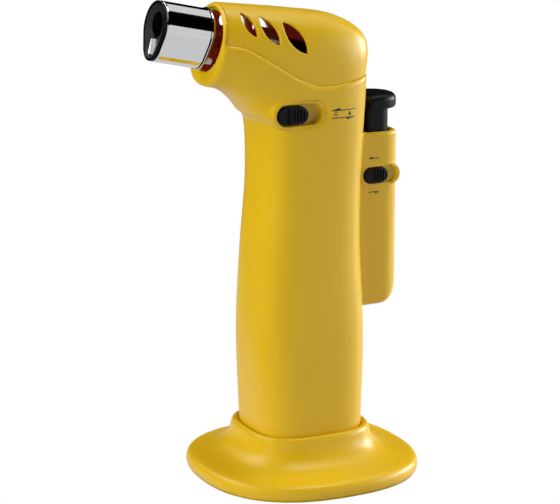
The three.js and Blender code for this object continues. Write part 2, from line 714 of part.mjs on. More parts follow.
/** High-voltage lead from the igniter to the spark insulator. */
function ignitionLead() {
  const end = nozzlePoint(27.5, -10);
  const near = nozzlePoint(32, -10);
  return alongRoute(routeOf([
    [PISTON_X, 0, 79.5], [PISTON_X, 0.4, 77.8], [PISTON_X, 4, 76.6], [PISTON_X, 6.6, 79.2],
    [PISTON_X, 7.1, 88], [PISTON_X, 7.1, 99], [29.5, 7.1, 105.5], [23, 7.1, 108.5],
    [16, 7.4, 112.5], [11, 9, 122], [8, 10.5, 136], [2, 10.4, 147], [-6, 8.6, 154],
    [-15, 4.6, 160.5], [near.x, 0.3, near.z], [end.x, 0, end.z],
  ]), 0.8, 6, 32);
}

/** Gas hose from the valve outlet up to the jet block. */
function gasHose() {
  const inlet = nozzlePoint(68, JET_BLOCK.bottom - 0.5);
  return alongRoute(routeOf([
    [-6.4, 0, 113], [-7.6, 0, 113.1], [-9.2, 0.6, 114.2], [-10, 1.8, 117], [-10.2, 3, 126],
    [-8, 3.6, 138], [-1.5, 2.6, 148], [inlet.x - 0.3, 0.2, inlet.z - 3], [inlet.x, 0, inlet.z],
  ]), 1.2, 8, 20);
}

/** Upright grip ribs on a slider's face. */
function gripRibs(start, pitch, width, face, rise, z, half) {
  const rib = (x) => block(x, face - rise, z - half, x + width, face + 0.2, z + half);
  return [0, 1, 2].map((i) => rib(start + pitch * i));
}

/** Flame lock: ribbed thumb cap, a flange behind the deck and a latch arm. */
function flameLock() {
  const { x, length, height, z, face } = FLAME_LOCK;
  const neckEnd = LOCK_NECK.x + LOCK_NECK.length;
  const flangeFront = LOCK_DECK.rear + GAP;
  const cap = sidePrism(stadium(x, x + length, z, height), face, LOCK_DECK.front - GAP);
  const { left, half } = LOCK_FLANGE;
  const neck = block(LOCK_NECK.x, -18, z - LOCK_NECK.half, neckEnd, LOCK_NECK.rear, z + LOCK_NECK.half);
  const flange = block(left, flangeFront, z - half, x + length, flangeFront + 1.4, z + half);
  const armEnd = LOCK_ARM.x + LOCK_ARM.length;
  const arm = block(LOCK_ARM.x, -15, LOCK_ARM.bottom, armEnd, -4.7, LOCK_ARM.top);
  const hook = block(LOCK_ARM.x, -6.8, LOCK_ARM.foot, armEnd, -4.7, LOCK_ARM.top);
  return join(cap, neck, flange, arm, hook, ...gripRibs(x + 7, 1.5, 0.7, face, 0.7, z, 2.8));
}

/** Safety slider: ribbed cap outside the housing, flange and stop inside. */
function safetySlider() {
  const { x, length, height, z, face, floor } = SAFETY;
  const cap = sidePrism(stadium(x, x + length, z, height), face, floor - GAP);
  const neck = block(x + 2, -10.3, z - 1.2, x + 7, -8.4, z + 1.2);
  const flange = block(x + 2.4, -8.6, z - 2.8, x + 7.4, -7.4, z + 2.8);
  const stop = block(x + 4, -7.5, z - 1, x + 6, -6.8, z + 1);
  return join(cap, neck, flange, stop, ...gripRibs(x + 5.2, 1.4, 0.7, face, 0.5, z, 2.4));
}

function shellScrew({ x, z, seat }) {
  const profile = [
    [0, -5.5], [1.05, -4.5], [1.05, seat + GAP], [2.3, seat + GAP], [2.3, seat + 1.2],
    [1.9, seat + 1.8], [0.9, seat + 1.8], [0.9, seat + 0.8], [0, seat + 0.8],
  ];
  const points = profile.map(([r, y]) => new THREE.Vector2(r, y));
  return solid(new THREE.LatheGeometry(points, 8).translate(x, 0, z));
}

// --------------------------------------------------------------------------- stand

/** Ring of the stand: the handle's section moved outward, easing into the rim's outline. */
function standRing([offset, z]) {
  const share = Math.min(Math.max(offset / STAND.rimOffset, 0), 1);
  const ease = share * share * (3 - 2 * share);
  const mix = (from, to) => from + (to - from) * ease;
  const inner = { middle: -0.85, halfX: 22.45, halfY: 21.85, power: 3 };
  const halfX = mix(inner.halfX + offset, STAND.halfX - STAND.rimOffset + offset);
  const halfY = mix(inner.halfY + offset, STAND.halfY - STAND.rimOffset + offset);
  const taper = offset <= STAND.fit ? (1 - z / 19) * 0.7 : 0;
  const power = mix(inner.power, STAND.power);
  const middle = new THREE.Vector3(mix(inner.middle, 0), 0, z);
  return superRing(middle, new THREE.Vector3(1, 0, 0), halfX - taper, halfY - taper, power);
}

/** Stiffening rib under the stand, in the direction of an angle. */
function standRib(angle) {
  const reach = (offset) => standRing([offset, 1])[0].x * rimShare(angle);
  const outline = [
    [1.8, 1], [20.7, 1], [20.7, 4.6], [19, 4.7], [13.4, 6.2], [9, 8], [5.6, 10.8], [3.2, 13], [1.8, 13],
  ];
  const shape = polygon(outline.map(([offset, z]) => [reach(offset), z]));
  const geometry = new THREE.ExtrudeGeometry(shape, { depth: 1.8, bevelEnabled: false });
  geometry.rotateX(Math.PI / 2).translate(0, 0.9, 0).rotateZ(angle);
  return solid(geometry);
}

const rimShare = (angle) =>
  superRadius(angle, STAND.halfX, STAND.halfY, STAND.power) / STAND.halfX;

function stand() {
  const body = loft([...STAND_UNDER, ...STAND_TOP].map(standRing));
  const ribs = Array.from({ length: 4 }, (_, i) => standRib((i * Math.PI) / 2));
  return join(body, ...ribs);
}

// ------------------------------------------------------------------------ assembly

const torch = new THREE.Group();
torch.name = 'torch_assembly';
const halves = handleHalves();
addPart(torch, 'stand', stand(), YELLOW);
addPart(torch, 'handle_shell_left', halves.left, YELLOW);
addPart(torch, 'handle_shell_right', halves.right, YELLOW);
addPart(torch, 'head_cover', headCover(), YELLOW);
addPart(torch, 'heat_liner', heatLiner(), LINER_RED);

const nozzle = new THREE.Group();
nozzle.applyMatrix4(nozzleFrame);
torch.add(nozzle);
addPart(nozzle, 'flame_sleeve', flameSleeve(), CHROME);
addPart(nozzle, 'mouth_insert', mouthInsert(), BLACK);
addPart(nozzle, 'igniter_insulator', igniterInsulator(), CERAMIC);
addPart(nozzle, 'spark_electrode', sparkElectrode(), STEEL);
addPart(nozzle, 'burner_tube', burnerTube(), BRASS);
addPart(nozzle, 'flame_holder', flameHolder(), STEEL);
addPart(nozzle, 'mixing_chamber', mixingChamber(), CHROME);
addPart(nozzle, 'sleeve_bracket', sleeveBracket(), BRASS);
addPart(nozzle, 'jet_block', jetBlock(), BLACK);
addPart(nozzle, 'gas_jet', gasJet(), BRASS);

addPart(torch, 'gas_hose', gasHose(), RUBBER);
addPart(torch, 'gas_tank', gasTank(), TANK_PLASTIC);
addPart(torch, 'tank_seal', tankSeal(), RUBBER);
addPart(torch, 'valve_body', valveBody(), BRASS);
addPart(torch, 'valve_stem', valveStem(), STEEL);
addPart(torch, 'valve_lever', valveLever(), STEEL);
addPart(torch, 'lever_bracket', leverBracket(), STEEL);
addPart(torch, 'lever_pin', leverPin(), STEEL);
addPart(torch, 'fill_valve_body', fillValveBody(), BRASS);
addPart(torch, 'fill_valve_stem', fillValveStem(), BRASS);

addPart(torch, 'plunger', plunger(), BLACK);
addPart(torch, 'plunger_spring', returnSpring(), STEEL);
addPart(torch, 'piezo_body', piezoBody(), BLACK);
addPart(torch, 'piezo_hammer', piezoHammer(), CERAMIC);
addPart(torch, 'ignition_lead', ignitionLead(), RUBBER);
addPart(torch, 'flame_lock_slider', flameLock(), BLACK);
addPart(torch, 'safety_slider', safetySlider(), BLACK);
SCREWS.forEach((screw) => addPart(torch, `shell_screw_${screw.name}`, shellScrew(screw), STEEL));

export default torch;
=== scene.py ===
"""Fine visual model of the gas torch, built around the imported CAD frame.

The moulded and machined pieces are written as distance fields, in millimetres, and meshed
by a surface net whose points are then moved onto the exact surface. Turned and swept pieces
are rings of points. Everything is scaled to metres when its mesh is made.
"""
import json
import math

import bpy
import numpy as np
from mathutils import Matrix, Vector


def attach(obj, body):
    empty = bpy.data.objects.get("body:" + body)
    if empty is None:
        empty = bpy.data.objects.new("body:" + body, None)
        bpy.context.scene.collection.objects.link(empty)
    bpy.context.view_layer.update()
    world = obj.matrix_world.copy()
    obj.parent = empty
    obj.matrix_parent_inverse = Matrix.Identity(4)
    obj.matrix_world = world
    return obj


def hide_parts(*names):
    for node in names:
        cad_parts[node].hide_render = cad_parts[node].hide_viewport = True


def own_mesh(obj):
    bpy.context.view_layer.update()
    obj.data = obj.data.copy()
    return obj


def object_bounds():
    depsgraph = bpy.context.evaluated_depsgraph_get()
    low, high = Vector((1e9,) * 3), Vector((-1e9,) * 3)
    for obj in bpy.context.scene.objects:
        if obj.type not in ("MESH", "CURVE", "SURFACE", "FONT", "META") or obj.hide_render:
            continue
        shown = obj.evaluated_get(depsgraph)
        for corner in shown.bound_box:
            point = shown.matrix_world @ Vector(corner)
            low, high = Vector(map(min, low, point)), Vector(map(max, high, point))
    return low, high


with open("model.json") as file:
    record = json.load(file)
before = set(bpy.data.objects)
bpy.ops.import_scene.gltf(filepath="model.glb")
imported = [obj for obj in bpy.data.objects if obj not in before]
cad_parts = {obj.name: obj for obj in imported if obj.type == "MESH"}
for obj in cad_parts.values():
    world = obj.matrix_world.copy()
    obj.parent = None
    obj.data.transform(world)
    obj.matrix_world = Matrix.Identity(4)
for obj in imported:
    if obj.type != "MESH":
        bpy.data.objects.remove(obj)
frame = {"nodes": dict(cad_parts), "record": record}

MM = 0.001
CAD_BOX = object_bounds()

# ------------------------------------------------------------------ driving sizes (mm)

# Handle sections: front x, front z, rear x, rear z, half-width, outline exponent.
SECTIONS = np.array([
    [-22.6, 2.8, 20.9, 2.8, 21.3, 3.0],
    [-23.9, 30, 22.0, 30, 22.2, 3.0],
    [-24.7, 60, 22.4, 60, 22.3, 3.0],
    [-23.2, 92, 20.8, 92, 21.0, 3.0],
    [-20.9, 120, 21.1, 120, 20.3, 3.0],
    [-21.6, 142, 22.6, 142, 20.2, 3.0],
    [-25.4, 147.2, 23.7, 158.5, 20.2, 3.0],
    [-28.4, 150.7, 24.3, 174.2, 20.0, 2.9],
    [-31.2, 153.4, 12.8, 183.0, 19.5, 2.8],
    [-34.6, 155.9, -5.1, 186.4, 18.6, 2.7],
    [-38.9, 157.8, -21.1, 188.5, 17.0, 2.5],
    [-44.3, 158.9, -37.5, 190.5, 15.0, 2.3],
])
TURN_AT = 5  # the section where the head starts to turn forward
HEAD_CENTRE = (-48.0, 142.0)  # the point that the head's sections fan round
BOTTOM, FLOOR = 2.8, 5.0  # underside of the handle and the floor inside it
WALL = 2.2
SEAM = 0.02  # half the hairline gap between mouldings

NOZZLE = np.array([-62.5, 0.0, 183.06])
TILT = math.radians(12.2)
REARWARD = np.array([math.cos(TILT), 0.0, -math.sin(TILT)])
UPWARD = np.array([math.sin(TILT), 0.0, math.cos(TILT)])
SLEEVE_TOP, SLEEVE_BOTTOM, SLEEVE_DROP = 9.65, 7.1, 6.4
SLEEVE_FRONT, SLEEVE_REAR, SLEEVE_WALL = 1.2, 20.7, 0.6
FLAME_HOLE, FLAME_RISE = 4.65, 0.5
MOUTH_DEPTH, LIP_DEPTH, MOUTH_RADIUS, MOUTH_DROP = 22.9, 24.5, 12.2, -1.8

LEDGE = np.array([
    [-48, 175.9], [-39.1, 175.8], [-31.1, 174.3], [-23.9, 170.2], [-16.3, 165.4],
    [-8.5, 160.8], [-2.5, 158.7], [4, 158.3], [12.6, 159.3], [22, 160.7], [40, 163.4],
])
COVER_STEP = 1.5
REBATE = 0.45  # how far the cover's edge sinks below the ledge and the lip
SKIRT_INSET, COVER_INSIDE, SKIRT_DROP = WALL + 0.25, 3.3, 2.0
LINER_OUTSIDE, LINER_INSIDE, LINER_FRONT, LINER_REAR = 3.65, 4.45, 25.6, 75
VENTS = (  # middle x, middle z, half-length, half-width, lean in degrees
    (-28.7, 182.45, 5.0, 1.9, -62.7),
    (-20.85, 179.95, 6.15, 2.45, -58.3),
    (-10.8, 176.85, 7.45, 2.9, -54),
)

HOUSING_FRONT, HOUSING_REAR, HOUSING_HALF, HOUSING_CORNER = 10, 39.9, 10.5, 8.0
HOUSING_BOTTOM, HOUSING_TOP, HOUSING_FOOT = 66.0, 136.6, 10.0
WELL_FRONT, WELL_REAR, WELL_HALF, WELL_CORNER = 24.2, 37.2, 8.9, 5.4
WELL_BOTTOM, WELL_FOOT, WELL_TOP = 68.5, 8.0, 124.0
THROAT_BOTTOM, THROAT_REAR = 76.0, 36.3
CAP_BOTTOM, CAP_TOP, CAP_FRONT, CAP_REAR, CAP_HALF, CAP_CORNER = 145.3, 151.15, 24.6, 40.2, 10.4, 9.8
STEM_BOTTOM, STEM_FRONT, STEM_REAR, STEM_HALF, STEM_CORNER = 131, 24.8, 35.8, 8.3, 5.2
FOOT_BOTTOM, FOOT_TOP, FOOT_FRONT, FOOT_HALF, FOOT_CORNER = 121, 131.5, 27, 6.2, 3
TAB_BOTTOM, TAB_FRONT, TAB_HALF = 128, 23.2, 2.6
PISTON_X = 31.7  # axis of the return spring and the igniter
SPRING_BOTTOM, SPRING_TOP, SPRING_RADIUS, SPRING_WIRE, SPRING_TURNS = 107.3, 120.7, 4.4, 0.88, 5

LOCK_X, LOCK_LENGTH, LOCK_HEIGHT, LOCK_Z, LOCK_TRAVEL = -20.0, 12.8, 7.0, 147.8, 6.0
PAD_LEFT, PAD_RIGHT, PAD_HEIGHT, PAD_FACE = -21.9, 1.3, 11.0, -19.2
RECESS_HEIGHT, DECK_OUTER, DECK_FRONT, DECK_REAR = 8.2, -18.8, -16.5, -15.5
NECK_X, NECK_LENGTH, NECK_HALF, NECK_REAR = -18.5, 4.5, 1.6, -14.8
FLANGE_LEFT, FLANGE_HALF = -16.0, 5.1
RIBS, LOCK_RIB, LOCK_RIB_PITCH, LOCK_RIB_HALF, LOCK_RIB_FACE = 4, 6.9, 1.35, 0.36, -20.6
SAFE_RIB, SAFE_RIB_PITCH, SAFE_RIB_HALF, SAFE_RIB_FACE = 4.6, 1.3, 0.34, -11.95
SLIDE_GAP = 0.3  # clearance round the flame lock
SAFE_X, SAFE_LENGTH, SAFE_HEIGHT, SAFE_Z, SAFE_TRAVEL = 22.0, 10.6, 6.2, 119.5, 3.5
SAFE_LEFT, SAFE_RIGHT, SAFE_PAD, SAFE_FACE, SAFE_FLOOR = 20.2, 38.4, 8.6, -10.8, -9.7
INK_FRONT, INK_REAR, INK_LINE = -0.04, 0.1, 0.34
SCREWS = (  # x, z, and y of the seat under the head
    (30, 71.5, 7.8), (21.9, 96, 7.8), (-15, 118, 13), (14, 150, 13), (-25.5, 155, 11),
)
SCREW_BOSS, SCREW_POCKET, SCREW_BORE = 3.5, 2.7, 1.35

RIM_X, RIM_Y, RIM_POWER, RIM_OFFSET = 45.2, 44.0, 2.42, 22.9
# The stand's outline as (offset from the handle's section, z).
STAND_UNDER = (
    (2.2, 0), (2.2, 9), (3.2, 11.8), (5.6, 9.6), (9, 7), (13.4, 5.3), (19, 3.9), (20.4, 0),
)
STAND_TOP = (
    (21.9, 0), (22.7, 1.0), (22.9, 2.8), (22.6, 4.6), (21.4, 6.0), (18, 6.8), (13, 7.8), (8.5, 9.5),
    (5, 12.5), (3.5, 16), (3.1, 18.2), (2.6, 19.4), (1.6, 19.9), (0.6, 19.6), (0.15, 18.8), (0.15, 2.5),
)
SOCKET_FIT, SOCKET_TOP = 0.15, 19.0
STAND_RIB = (
    (2.0, 1), (20.3, 1), (20.3, 4.4), (19, 4.5), (13.4, 5.9), (9, 7.7), (5.6, 10.3), (3.4, 12.4),
    (2.0, 12.4),
)

# ------------------------------------------------------------------------- curve helpers


def catmull(rows, at):
    """Points of a uniform Catmull-Rom spline through rows, at row numbers."""
    rows = np.asarray(rows, float)
    padded = np.vstack([2 * rows[0] - rows[1], rows, 2 * rows[-1] - rows[-2]])
    i = np.clip(np.floor(at).astype(int), 0, len(rows) - 2)
    t = (at - i)[:, None]
    a, b, c, d = padded[i], padded[i + 1], padded[i + 2], padded[i + 3]
    return 0.5 * (2 * b + (c - a) * t + (2 * a - 5 * b + 4 * c - d) * t**2 + (3 * b - a - 3 * c + d) * t**3)


def polar(x, z):
    """Angle and distance round the head's centre, seen from the side."""
    dx, dz = x - HEAD_CENTRE[0], z - HEAD_CENTRE[1]
    return np.arctan2(dz, dx), np.hypot(dx, dz)


STRAIGHT = catmull(SECTIONS, np.linspace(0, TURN_AT, 600))
FAN = catmull(SECTIONS, np.linspace(TURN_AT, len(SECTIONS) - 1, 900))
FRONT_ANGLE, FRONT_RADIUS = polar(FAN[:, 0], FAN[:, 1])
REAR_ANGLE, REAR_RADIUS = polar(FAN[:, 2], FAN[:, 3])
MID_ANGLE = (FRONT_ANGLE + REAR_ANGLE) / 2
MEASURES = (  # column of the grip's table, and the same measure round the head
    (0, FRONT_ANGLE, FRONT_RADIUS),
    (2, REAR_ANGLE, REAR_RADIUS),
    (4, MID_ANGLE, FAN[:, 4]),
    (5, MID_ANGLE, FAN[:, 5]),
)
LEDGE_LINE = catmull(LEDGE, np.linspace(0, len(LEDGE) - 1, 400))
LEDGE_SLOPE = np.gradient(LEDGE_LINE[:, 1], LEDGE_LINE[:, 0])

# ------------------------------------------------------------------ distance fields (mm)


def both(a, b, r=0.0):
    """Where two fields are both inside, its edge rounded to radius r."""
    corner = np.sqrt(np.maximum(a + r, 0) ** 2 + np.maximum(b + r, 0) ** 2)
    return np.minimum(np.maximum(a, b), -r) + corner


def either(a, b, r=0.0):
    """Two fields joined, with a fillet of radius r."""
    return -both(-a, -b, r)


def without(a, b, r=0.0):
    """The first field with the second cut from it, its edges rounded."""
    return both(a, -b, r)


def between(v, low, high):
    """A slab."""
    return np.maximum(low - v, v - high)


def stadium(x, z, left, right, middle, height):
    """A bar with round ends, seen from the side."""
    r = height / 2
    return np.hypot(x - np.clip(x, left + r, right - r), z - middle) - r


def rounded_rect(x, y, left, right, half, corner):
    """A rectangle whose right-hand corners are round."""
    dx = x - (right - corner)
    dy = np.abs(y) - (half - corner)
    outer = np.hypot(np.maximum(dx, 0), np.maximum(dy, 0)) + np.minimum(np.maximum(dx, dy), 0) - corner
    return np.maximum(outer, left - x)


def handle(x, y, z, inset=0.0, side_inset=None):
    """The handle and head as one smooth body, moved inward by the inset."""
    side_inset = inset if side_inset is None else side_inset
    angle, radius = polar(x, z)
    low = z < HEAD_CENTRE[1]
    front, rear, half, power = (
        np.where(low, np.interp(z, STRAIGHT[:, 1], STRAIGHT[:, column]), np.interp(angle, turns, values))
        for column, turns, values in MEASURES)
    across = np.where(low, x, radius) - (front + rear) / 2
    reach = np.hypot(across, y) + 1e-9
    shape = (np.abs(across / ((rear - front) / 2 - inset)) ** power
             + np.abs(y / (half - side_inset)) ** power) ** (1 / power) + 1e-9
    return reach - reach / shape


def depth(x, z):
    """Distance behind the flame tube's front face."""
    return (x - NOZZLE[0]) * REARWARD[0] + (z - NOZZLE[2]) * REARWARD[2]


def height(x, z):
    """Height above the flame tube's axis."""
    return (x - NOZZLE[0]) * UPWARD[0] + (z - NOZZLE[2]) * UPWARD[2]


def above_ledge(x, z):
    """Distance above the step line under the head cover, seen from the side."""
    slope = np.interp(x, LEDGE_LINE[:, 0], LEDGE_SLOPE)
    return (z - np.interp(x, LEDGE_LINE[:, 0], LEDGE_LINE[:, 1])) / np.sqrt(1 + slope**2)


def vent(x, z, which):
    """Lens-shaped air vent, seen from the side."""
    vx, vz, half, width, lean = which
    c, s = math.cos(math.radians(lean)), math.sin(math.radians(lean))
    along = (x - vx) * c + (z - vz) * s
    across = (z - vz) * c - (x - vx) * s
    radius = (half**2 + width**2) / (2 * width)
    rise = radius - width
    return both(np.hypot(along, across + rise) - radius, np.hypot(along, across - rise) - radius, 0.25)


def round_foot(x, z, rear, bottom, radius):
    """Side outline whose lower rear corner is round."""
    dx = np.maximum(x - (rear - radius), 0)
    dz = np.maximum(bottom + radius - z, 0)
    return np.hypot(dx, dz) - radius


def housing(x, y, z):
    """Rear housing of the ignition plunger."""
    plan = rounded_rect(x, y, HOUSING_FRONT, HOUSING_REAR, HOUSING_HALF, HOUSING_CORNER)
    body = both(plan, round_foot(x, z, HOUSING_REAR, HOUSING_BOTTOM, HOUSING_FOOT), 3.0)
    return both(body, z - HOUSING_TOP, 1.3)


def well(x, y, z):
    """Hollow of the housing, with a narrower throat that guides the plunger."""
    plan = rounded_rect(x, y, WELL_FRONT, WELL_REAR, WELL_HALF, WELL_CORNER)
    throat = rounded_rect(x, y, WELL_FRONT, THROAT_REAR, WELL_HALF, WELL_CORNER)
    side = round_foot(x, z, WELL_REAR, WELL_BOTTOM, WELL_FOOT)
    lower = np.maximum(np.maximum(plan, side), z - WELL_TOP)
    return np.minimum(lower, np.maximum(throat, THROAT_BOTTOM - z))


def shell(x, y, z, side):
    """The handle with one half's details; side is -1 for the half with the sliders."""
    outer = both(handle(x, y, z), MOUTH_DEPTH - depth(x, z), 2.2)
    outer = both(outer, BOTTOM - z, 1.0)
    open_top = both(-above_ledge(x, z), LIP_DEPTH - depth(x, z), 0.9)
    step = handle(x, y, z, 0, COVER_STEP) - handle(x, y, z)
    outer = without(outer, open_top, 0.25 + 1.75 * np.clip(step / COVER_STEP, 0, 1))
    rebate = np.maximum(-REBATE - above_ledge(x, z), LIP_DEPTH - REBATE - depth(x, z))
    outer = without(outer, np.maximum(rebate, handle(x, y, z, 0, COVER_STEP) - SEAM))
    outer = either(outer, housing(x, y, z), 0.7)
    if side < 0:
        outer = add_lock_pad(outer, x, y, z)
        outer = add_safety_pad(outer, x, y, z)
    inner = both(handle(x, y, z, WALL), LIP_DEPTH + 0.6 - depth(x, z), 0.5)
    inner = both(inner, FLOOR - z)
    body = without(outer, inner, 0.3)
    for sx, sz, _ in SCREWS:
        boss = np.maximum(np.hypot(x - sx, z - sz) - SCREW_BOSS, outer + 0.3)
        body = np.minimum(body, boss)
    if side < 0:
        deck = stadium(x, z, PAD_LEFT, PAD_RIGHT, LOCK_Z, PAD_HEIGHT)
        body = np.minimum(body, np.maximum(np.maximum(deck, between(y, DECK_OUTER, DECK_REAR)), outer + 0.3))
    body = without(body, well(x, y, z), 0.5)
    mouth = np.hypot(y, height(x, z) - MOUTH_DROP) - MOUTH_RADIUS
    body = without(body, np.maximum(mouth, depth(x, z) - 32), 1.0)
    if side < 0:
        body = cut_slider_slots(body, x, y, z)
    else:
        for sx, sz, seat in SCREWS:
            across = np.hypot(x - sx, z - sz)
            body = without(body, np.maximum(across - SCREW_POCKET, seat - y), 0.35)
            body = without(body, np.maximum(across - SCREW_BORE, y - seat - 1))
    return body


def add_lock_pad(outer, x, y, z):
    """Raised and dished pad round the flame lock."""
    outline = stadium(x, z, PAD_LEFT, PAD_RIGHT, LOCK_Z, PAD_HEIGHT)
    pad = both(np.maximum(outline, y + 9), PAD_FACE - y, 0.9)
    outer = either(outer, pad, 0.7)
    dish = np.maximum(stadium(x, z, PAD_LEFT + 0.5, PAD_RIGHT, LOCK_Z, PAD_HEIGHT - 0.4), y - PAD_FACE)
    return without(outer, dish, 0.7)


def add_safety_pad(outer, x, y, z):
    """Low pad round the safety slider."""
    outline = stadium(x, z, SAFE_LEFT, SAFE_RIGHT, SAFE_Z, SAFE_PAD)
    return either(outer, both(np.maximum(outline, y + 4), SAFE_FACE - y, 0.5), 0.3)


def cut_slider_slots(body, x, y, z):
    """Recesses, slots and pockets in which the two sliders run."""
    end = LOCK_X + LOCK_LENGTH + LOCK_TRAVEL + SLIDE_GAP
    recess = np.maximum(stadium(x, z, LOCK_X - SLIDE_GAP, end, LOCK_Z, RECESS_HEIGHT), y - DECK_FRONT)
    body = without(body, recess, 0.5)
    pocket = between(z, LOCK_Z - FLANGE_HALF - SLIDE_GAP, LOCK_Z + FLANGE_HALF + SLIDE_GAP)
    pocket = np.maximum(between(x, FLANGE_LEFT - SLIDE_GAP, end), pocket)
    body = without(body, np.maximum(pocket, between(y, DECK_REAR, -10)))
    neck_end = NECK_X + NECK_LENGTH + LOCK_TRAVEL + SLIDE_GAP
    neck_slot = between(z, LOCK_Z - NECK_HALF - SLIDE_GAP, LOCK_Z + NECK_HALF + SLIDE_GAP)
    neck_slot = np.maximum(neck_slot, between(x, NECK_X - SLIDE_GAP, neck_end))
    body = without(body, np.maximum(neck_slot, between(y, -18, NECK_REAR + SLIDE_GAP)), 0.1)
    track_end = SAFE_X + SAFE_LENGTH + SAFE_TRAVEL + 0.25
    track = stadium(x, z, SAFE_X - 0.25, track_end, SAFE_Z, SAFE_HEIGHT + 0.5)
    body = without(body, np.maximum(track, y - SAFE_FLOOR), 0.3)
    slot = np.maximum(between(x, SAFE_X + 1.7, SAFE_X + 11), between(z, SAFE_Z - 1.5, SAFE_Z + 1.5))
    return without(body, np.maximum(slot, between(y, -11, -8)))


def head_cover(x, y, z):
    """Panel over the step line, with a skirt that tucks into the shells."""
    panel = both(handle(x, y, z, 0, COVER_STEP), LIP_DEPTH - REBATE + 2 * SEAM - depth(x, z), 0.1)
    panel = both(panel, 2 * SEAM - REBATE - above_ledge(x, z), 0.1)
    skirt = np.maximum(handle(x, y, z, SKIRT_INSET), LIP_DEPTH + 0.9 - depth(x, z))
    skirt = np.maximum(skirt, -SKIRT_DROP - above_ledge(x, z))
    body = without(np.minimum(panel, skirt), handle(x, y, z, COVER_INSIDE), 0.2)
    for which in VENTS:
        body = without(body, vent(x, z, which), 0.55)
    return body


def heat_liner(x, y, z):
    """Thin sheet inside the head, cut out behind the vents; its dark red is painted shade of the head's
    inside.
    """
    body = np.maximum(handle(x, y, z, LINER_OUTSIDE), -handle(x, y, z, LINER_INSIDE))
    body = np.maximum(body, between(depth(x, z), LINER_FRONT, LINER_REAR))
    floor = 163.5 + (x + 24) * 0.04
    body = np.maximum(body, np.where(x > -26, floor - z, -1.0))
    for which in VENTS:
        body = without(body, vent(x, z, which) - 0.5, 0.2)
    return body


def teardrop(y, up, inset=0.0):
    """Outline of the flame tube: two circles and their shared tangents."""
    top, bottom = SLEEVE_TOP - inset, SLEEVE_BOTTOM - inset
    lean = (top - bottom) / SLEEVE_DROP
    level = math.sqrt(1 - lean**2)
    y = np.abs(y)
    drop = -up
    side = level * y + lean * drop
    along = level * drop - lean * y
    return np.where(
        along < 0, np.hypot(y, drop) - top,
        np.where(along > level * SLEEVE_DROP, np.hypot(y, drop - SLEEVE_DROP) - bottom, side - top))


def mouth_insert(x, y, z):
    """Black front piece, in its own axes: x is depth, y is across, z is height."""
    rim = both(teardrop(y, z, 0.05), between(x, 0.04, 0.9), 0.42)
    plug = both(teardrop(y, z, SLEEVE_WALL + 0.1), between(x, 0.4, 6.0), 0.2)
    body = np.minimum(rim, plug)
    fall = 0.35 + 0.3 * np.clip(-teardrop(y, z) - 1.2, 0, 4)
    body = without(body, np.maximum(teardrop(y, z, 1.2), x - fall), 0.3)
    body = without(body, np.hypot(y, z - FLAME_RISE) - FLAME_HOLE, 0.45)
    return without(body, keyhole(y, z, 0.45), 0.25)


def keyhole(y, z, widen=0.0):
    """Slot that widens from the flame hole down to a round end."""
    t = np.clip((-3.5 - z) / 6.5, 0, 1)
    middle = np.clip(z, -10, -3.5)
    return np.hypot(y, z - middle) - (0.45 + 0.75 * t) - widen


def insulator(x, y, z):
    """Ceramic drop in the keyhole and the rod behind it, in the nozzle's own axes."""
    t = np.clip((-5.2 - z) / 4.8, 0, 1)
    drop = np.hypot(y - 0.6, z - np.clip(z, -10.2, -5.2)) - (0.22 + 0.48 * t)
    front = both(drop, between(x, 0.12, 6), 0.3)
    rod = np.maximum(np.hypot(y, z + 10) - 1.2, between(x, 5, 26))
    return np.minimum(front, rod)


def lock_slider(x, y, z):
    """Flame lock: ribbed cap, neck, flange behind the deck, and latch arm."""
    outline = stadium(x, z, LOCK_X, LOCK_X + LOCK_LENGTH, LOCK_Z, LOCK_HEIGHT)
    ramp = np.clip((x - LOCK_X - 3.6) / 1.6, 0, 1)
    face = -19.3 - 0.7 * ramp * ramp * (3 - 2 * ramp)
    body = np.maximum(both(outline, face - y, 0.55), y - DECK_FRONT + SLIDE_GAP)
    inside = stadium(x, z, LOCK_X + 1, LOCK_X + LOCK_LENGTH - 0.9, LOCK_Z, LOCK_HEIGHT - 1.5)
    for i in range(RIBS):
        middle = LOCK_X + LOCK_RIB + LOCK_RIB_PITCH * i
        rib = both(between(x, middle - LOCK_RIB_HALF, middle + LOCK_RIB_HALF), LOCK_RIB_FACE - y, 0.34)
        body = either(body, both(np.maximum(rib, y + 18), inside, 0.25), 0.18)
    neck = between(z, LOCK_Z - NECK_HALF, LOCK_Z + NECK_HALF)
    neck = np.maximum(between(x, NECK_X, NECK_X + NECK_LENGTH), neck)
    body = np.minimum(body, np.maximum(neck, between(y, -18, NECK_REAR)))
    across = between(z, LOCK_Z - FLANGE_HALF, LOCK_Z + FLANGE_HALF)
    flange = both(between(x, FLANGE_LEFT, LOCK_X + LOCK_LENGTH), across, 0.4)
    body = np.minimum(body, np.maximum(flange, between(y, DECK_REAR + SLIDE_GAP, DECK_REAR + 1.7)))
    along = between(x, -9.6, -6.2)
    arm = np.maximum(along, np.maximum(between(z, 144.2, 146.6), between(y, -15, -4.7)))
    hook = np.maximum(along, np.maximum(between(z, 131.8, 146.6), between(y, -6.8, -4.7)))
    return np.minimum(body, np.minimum(arm, hook))


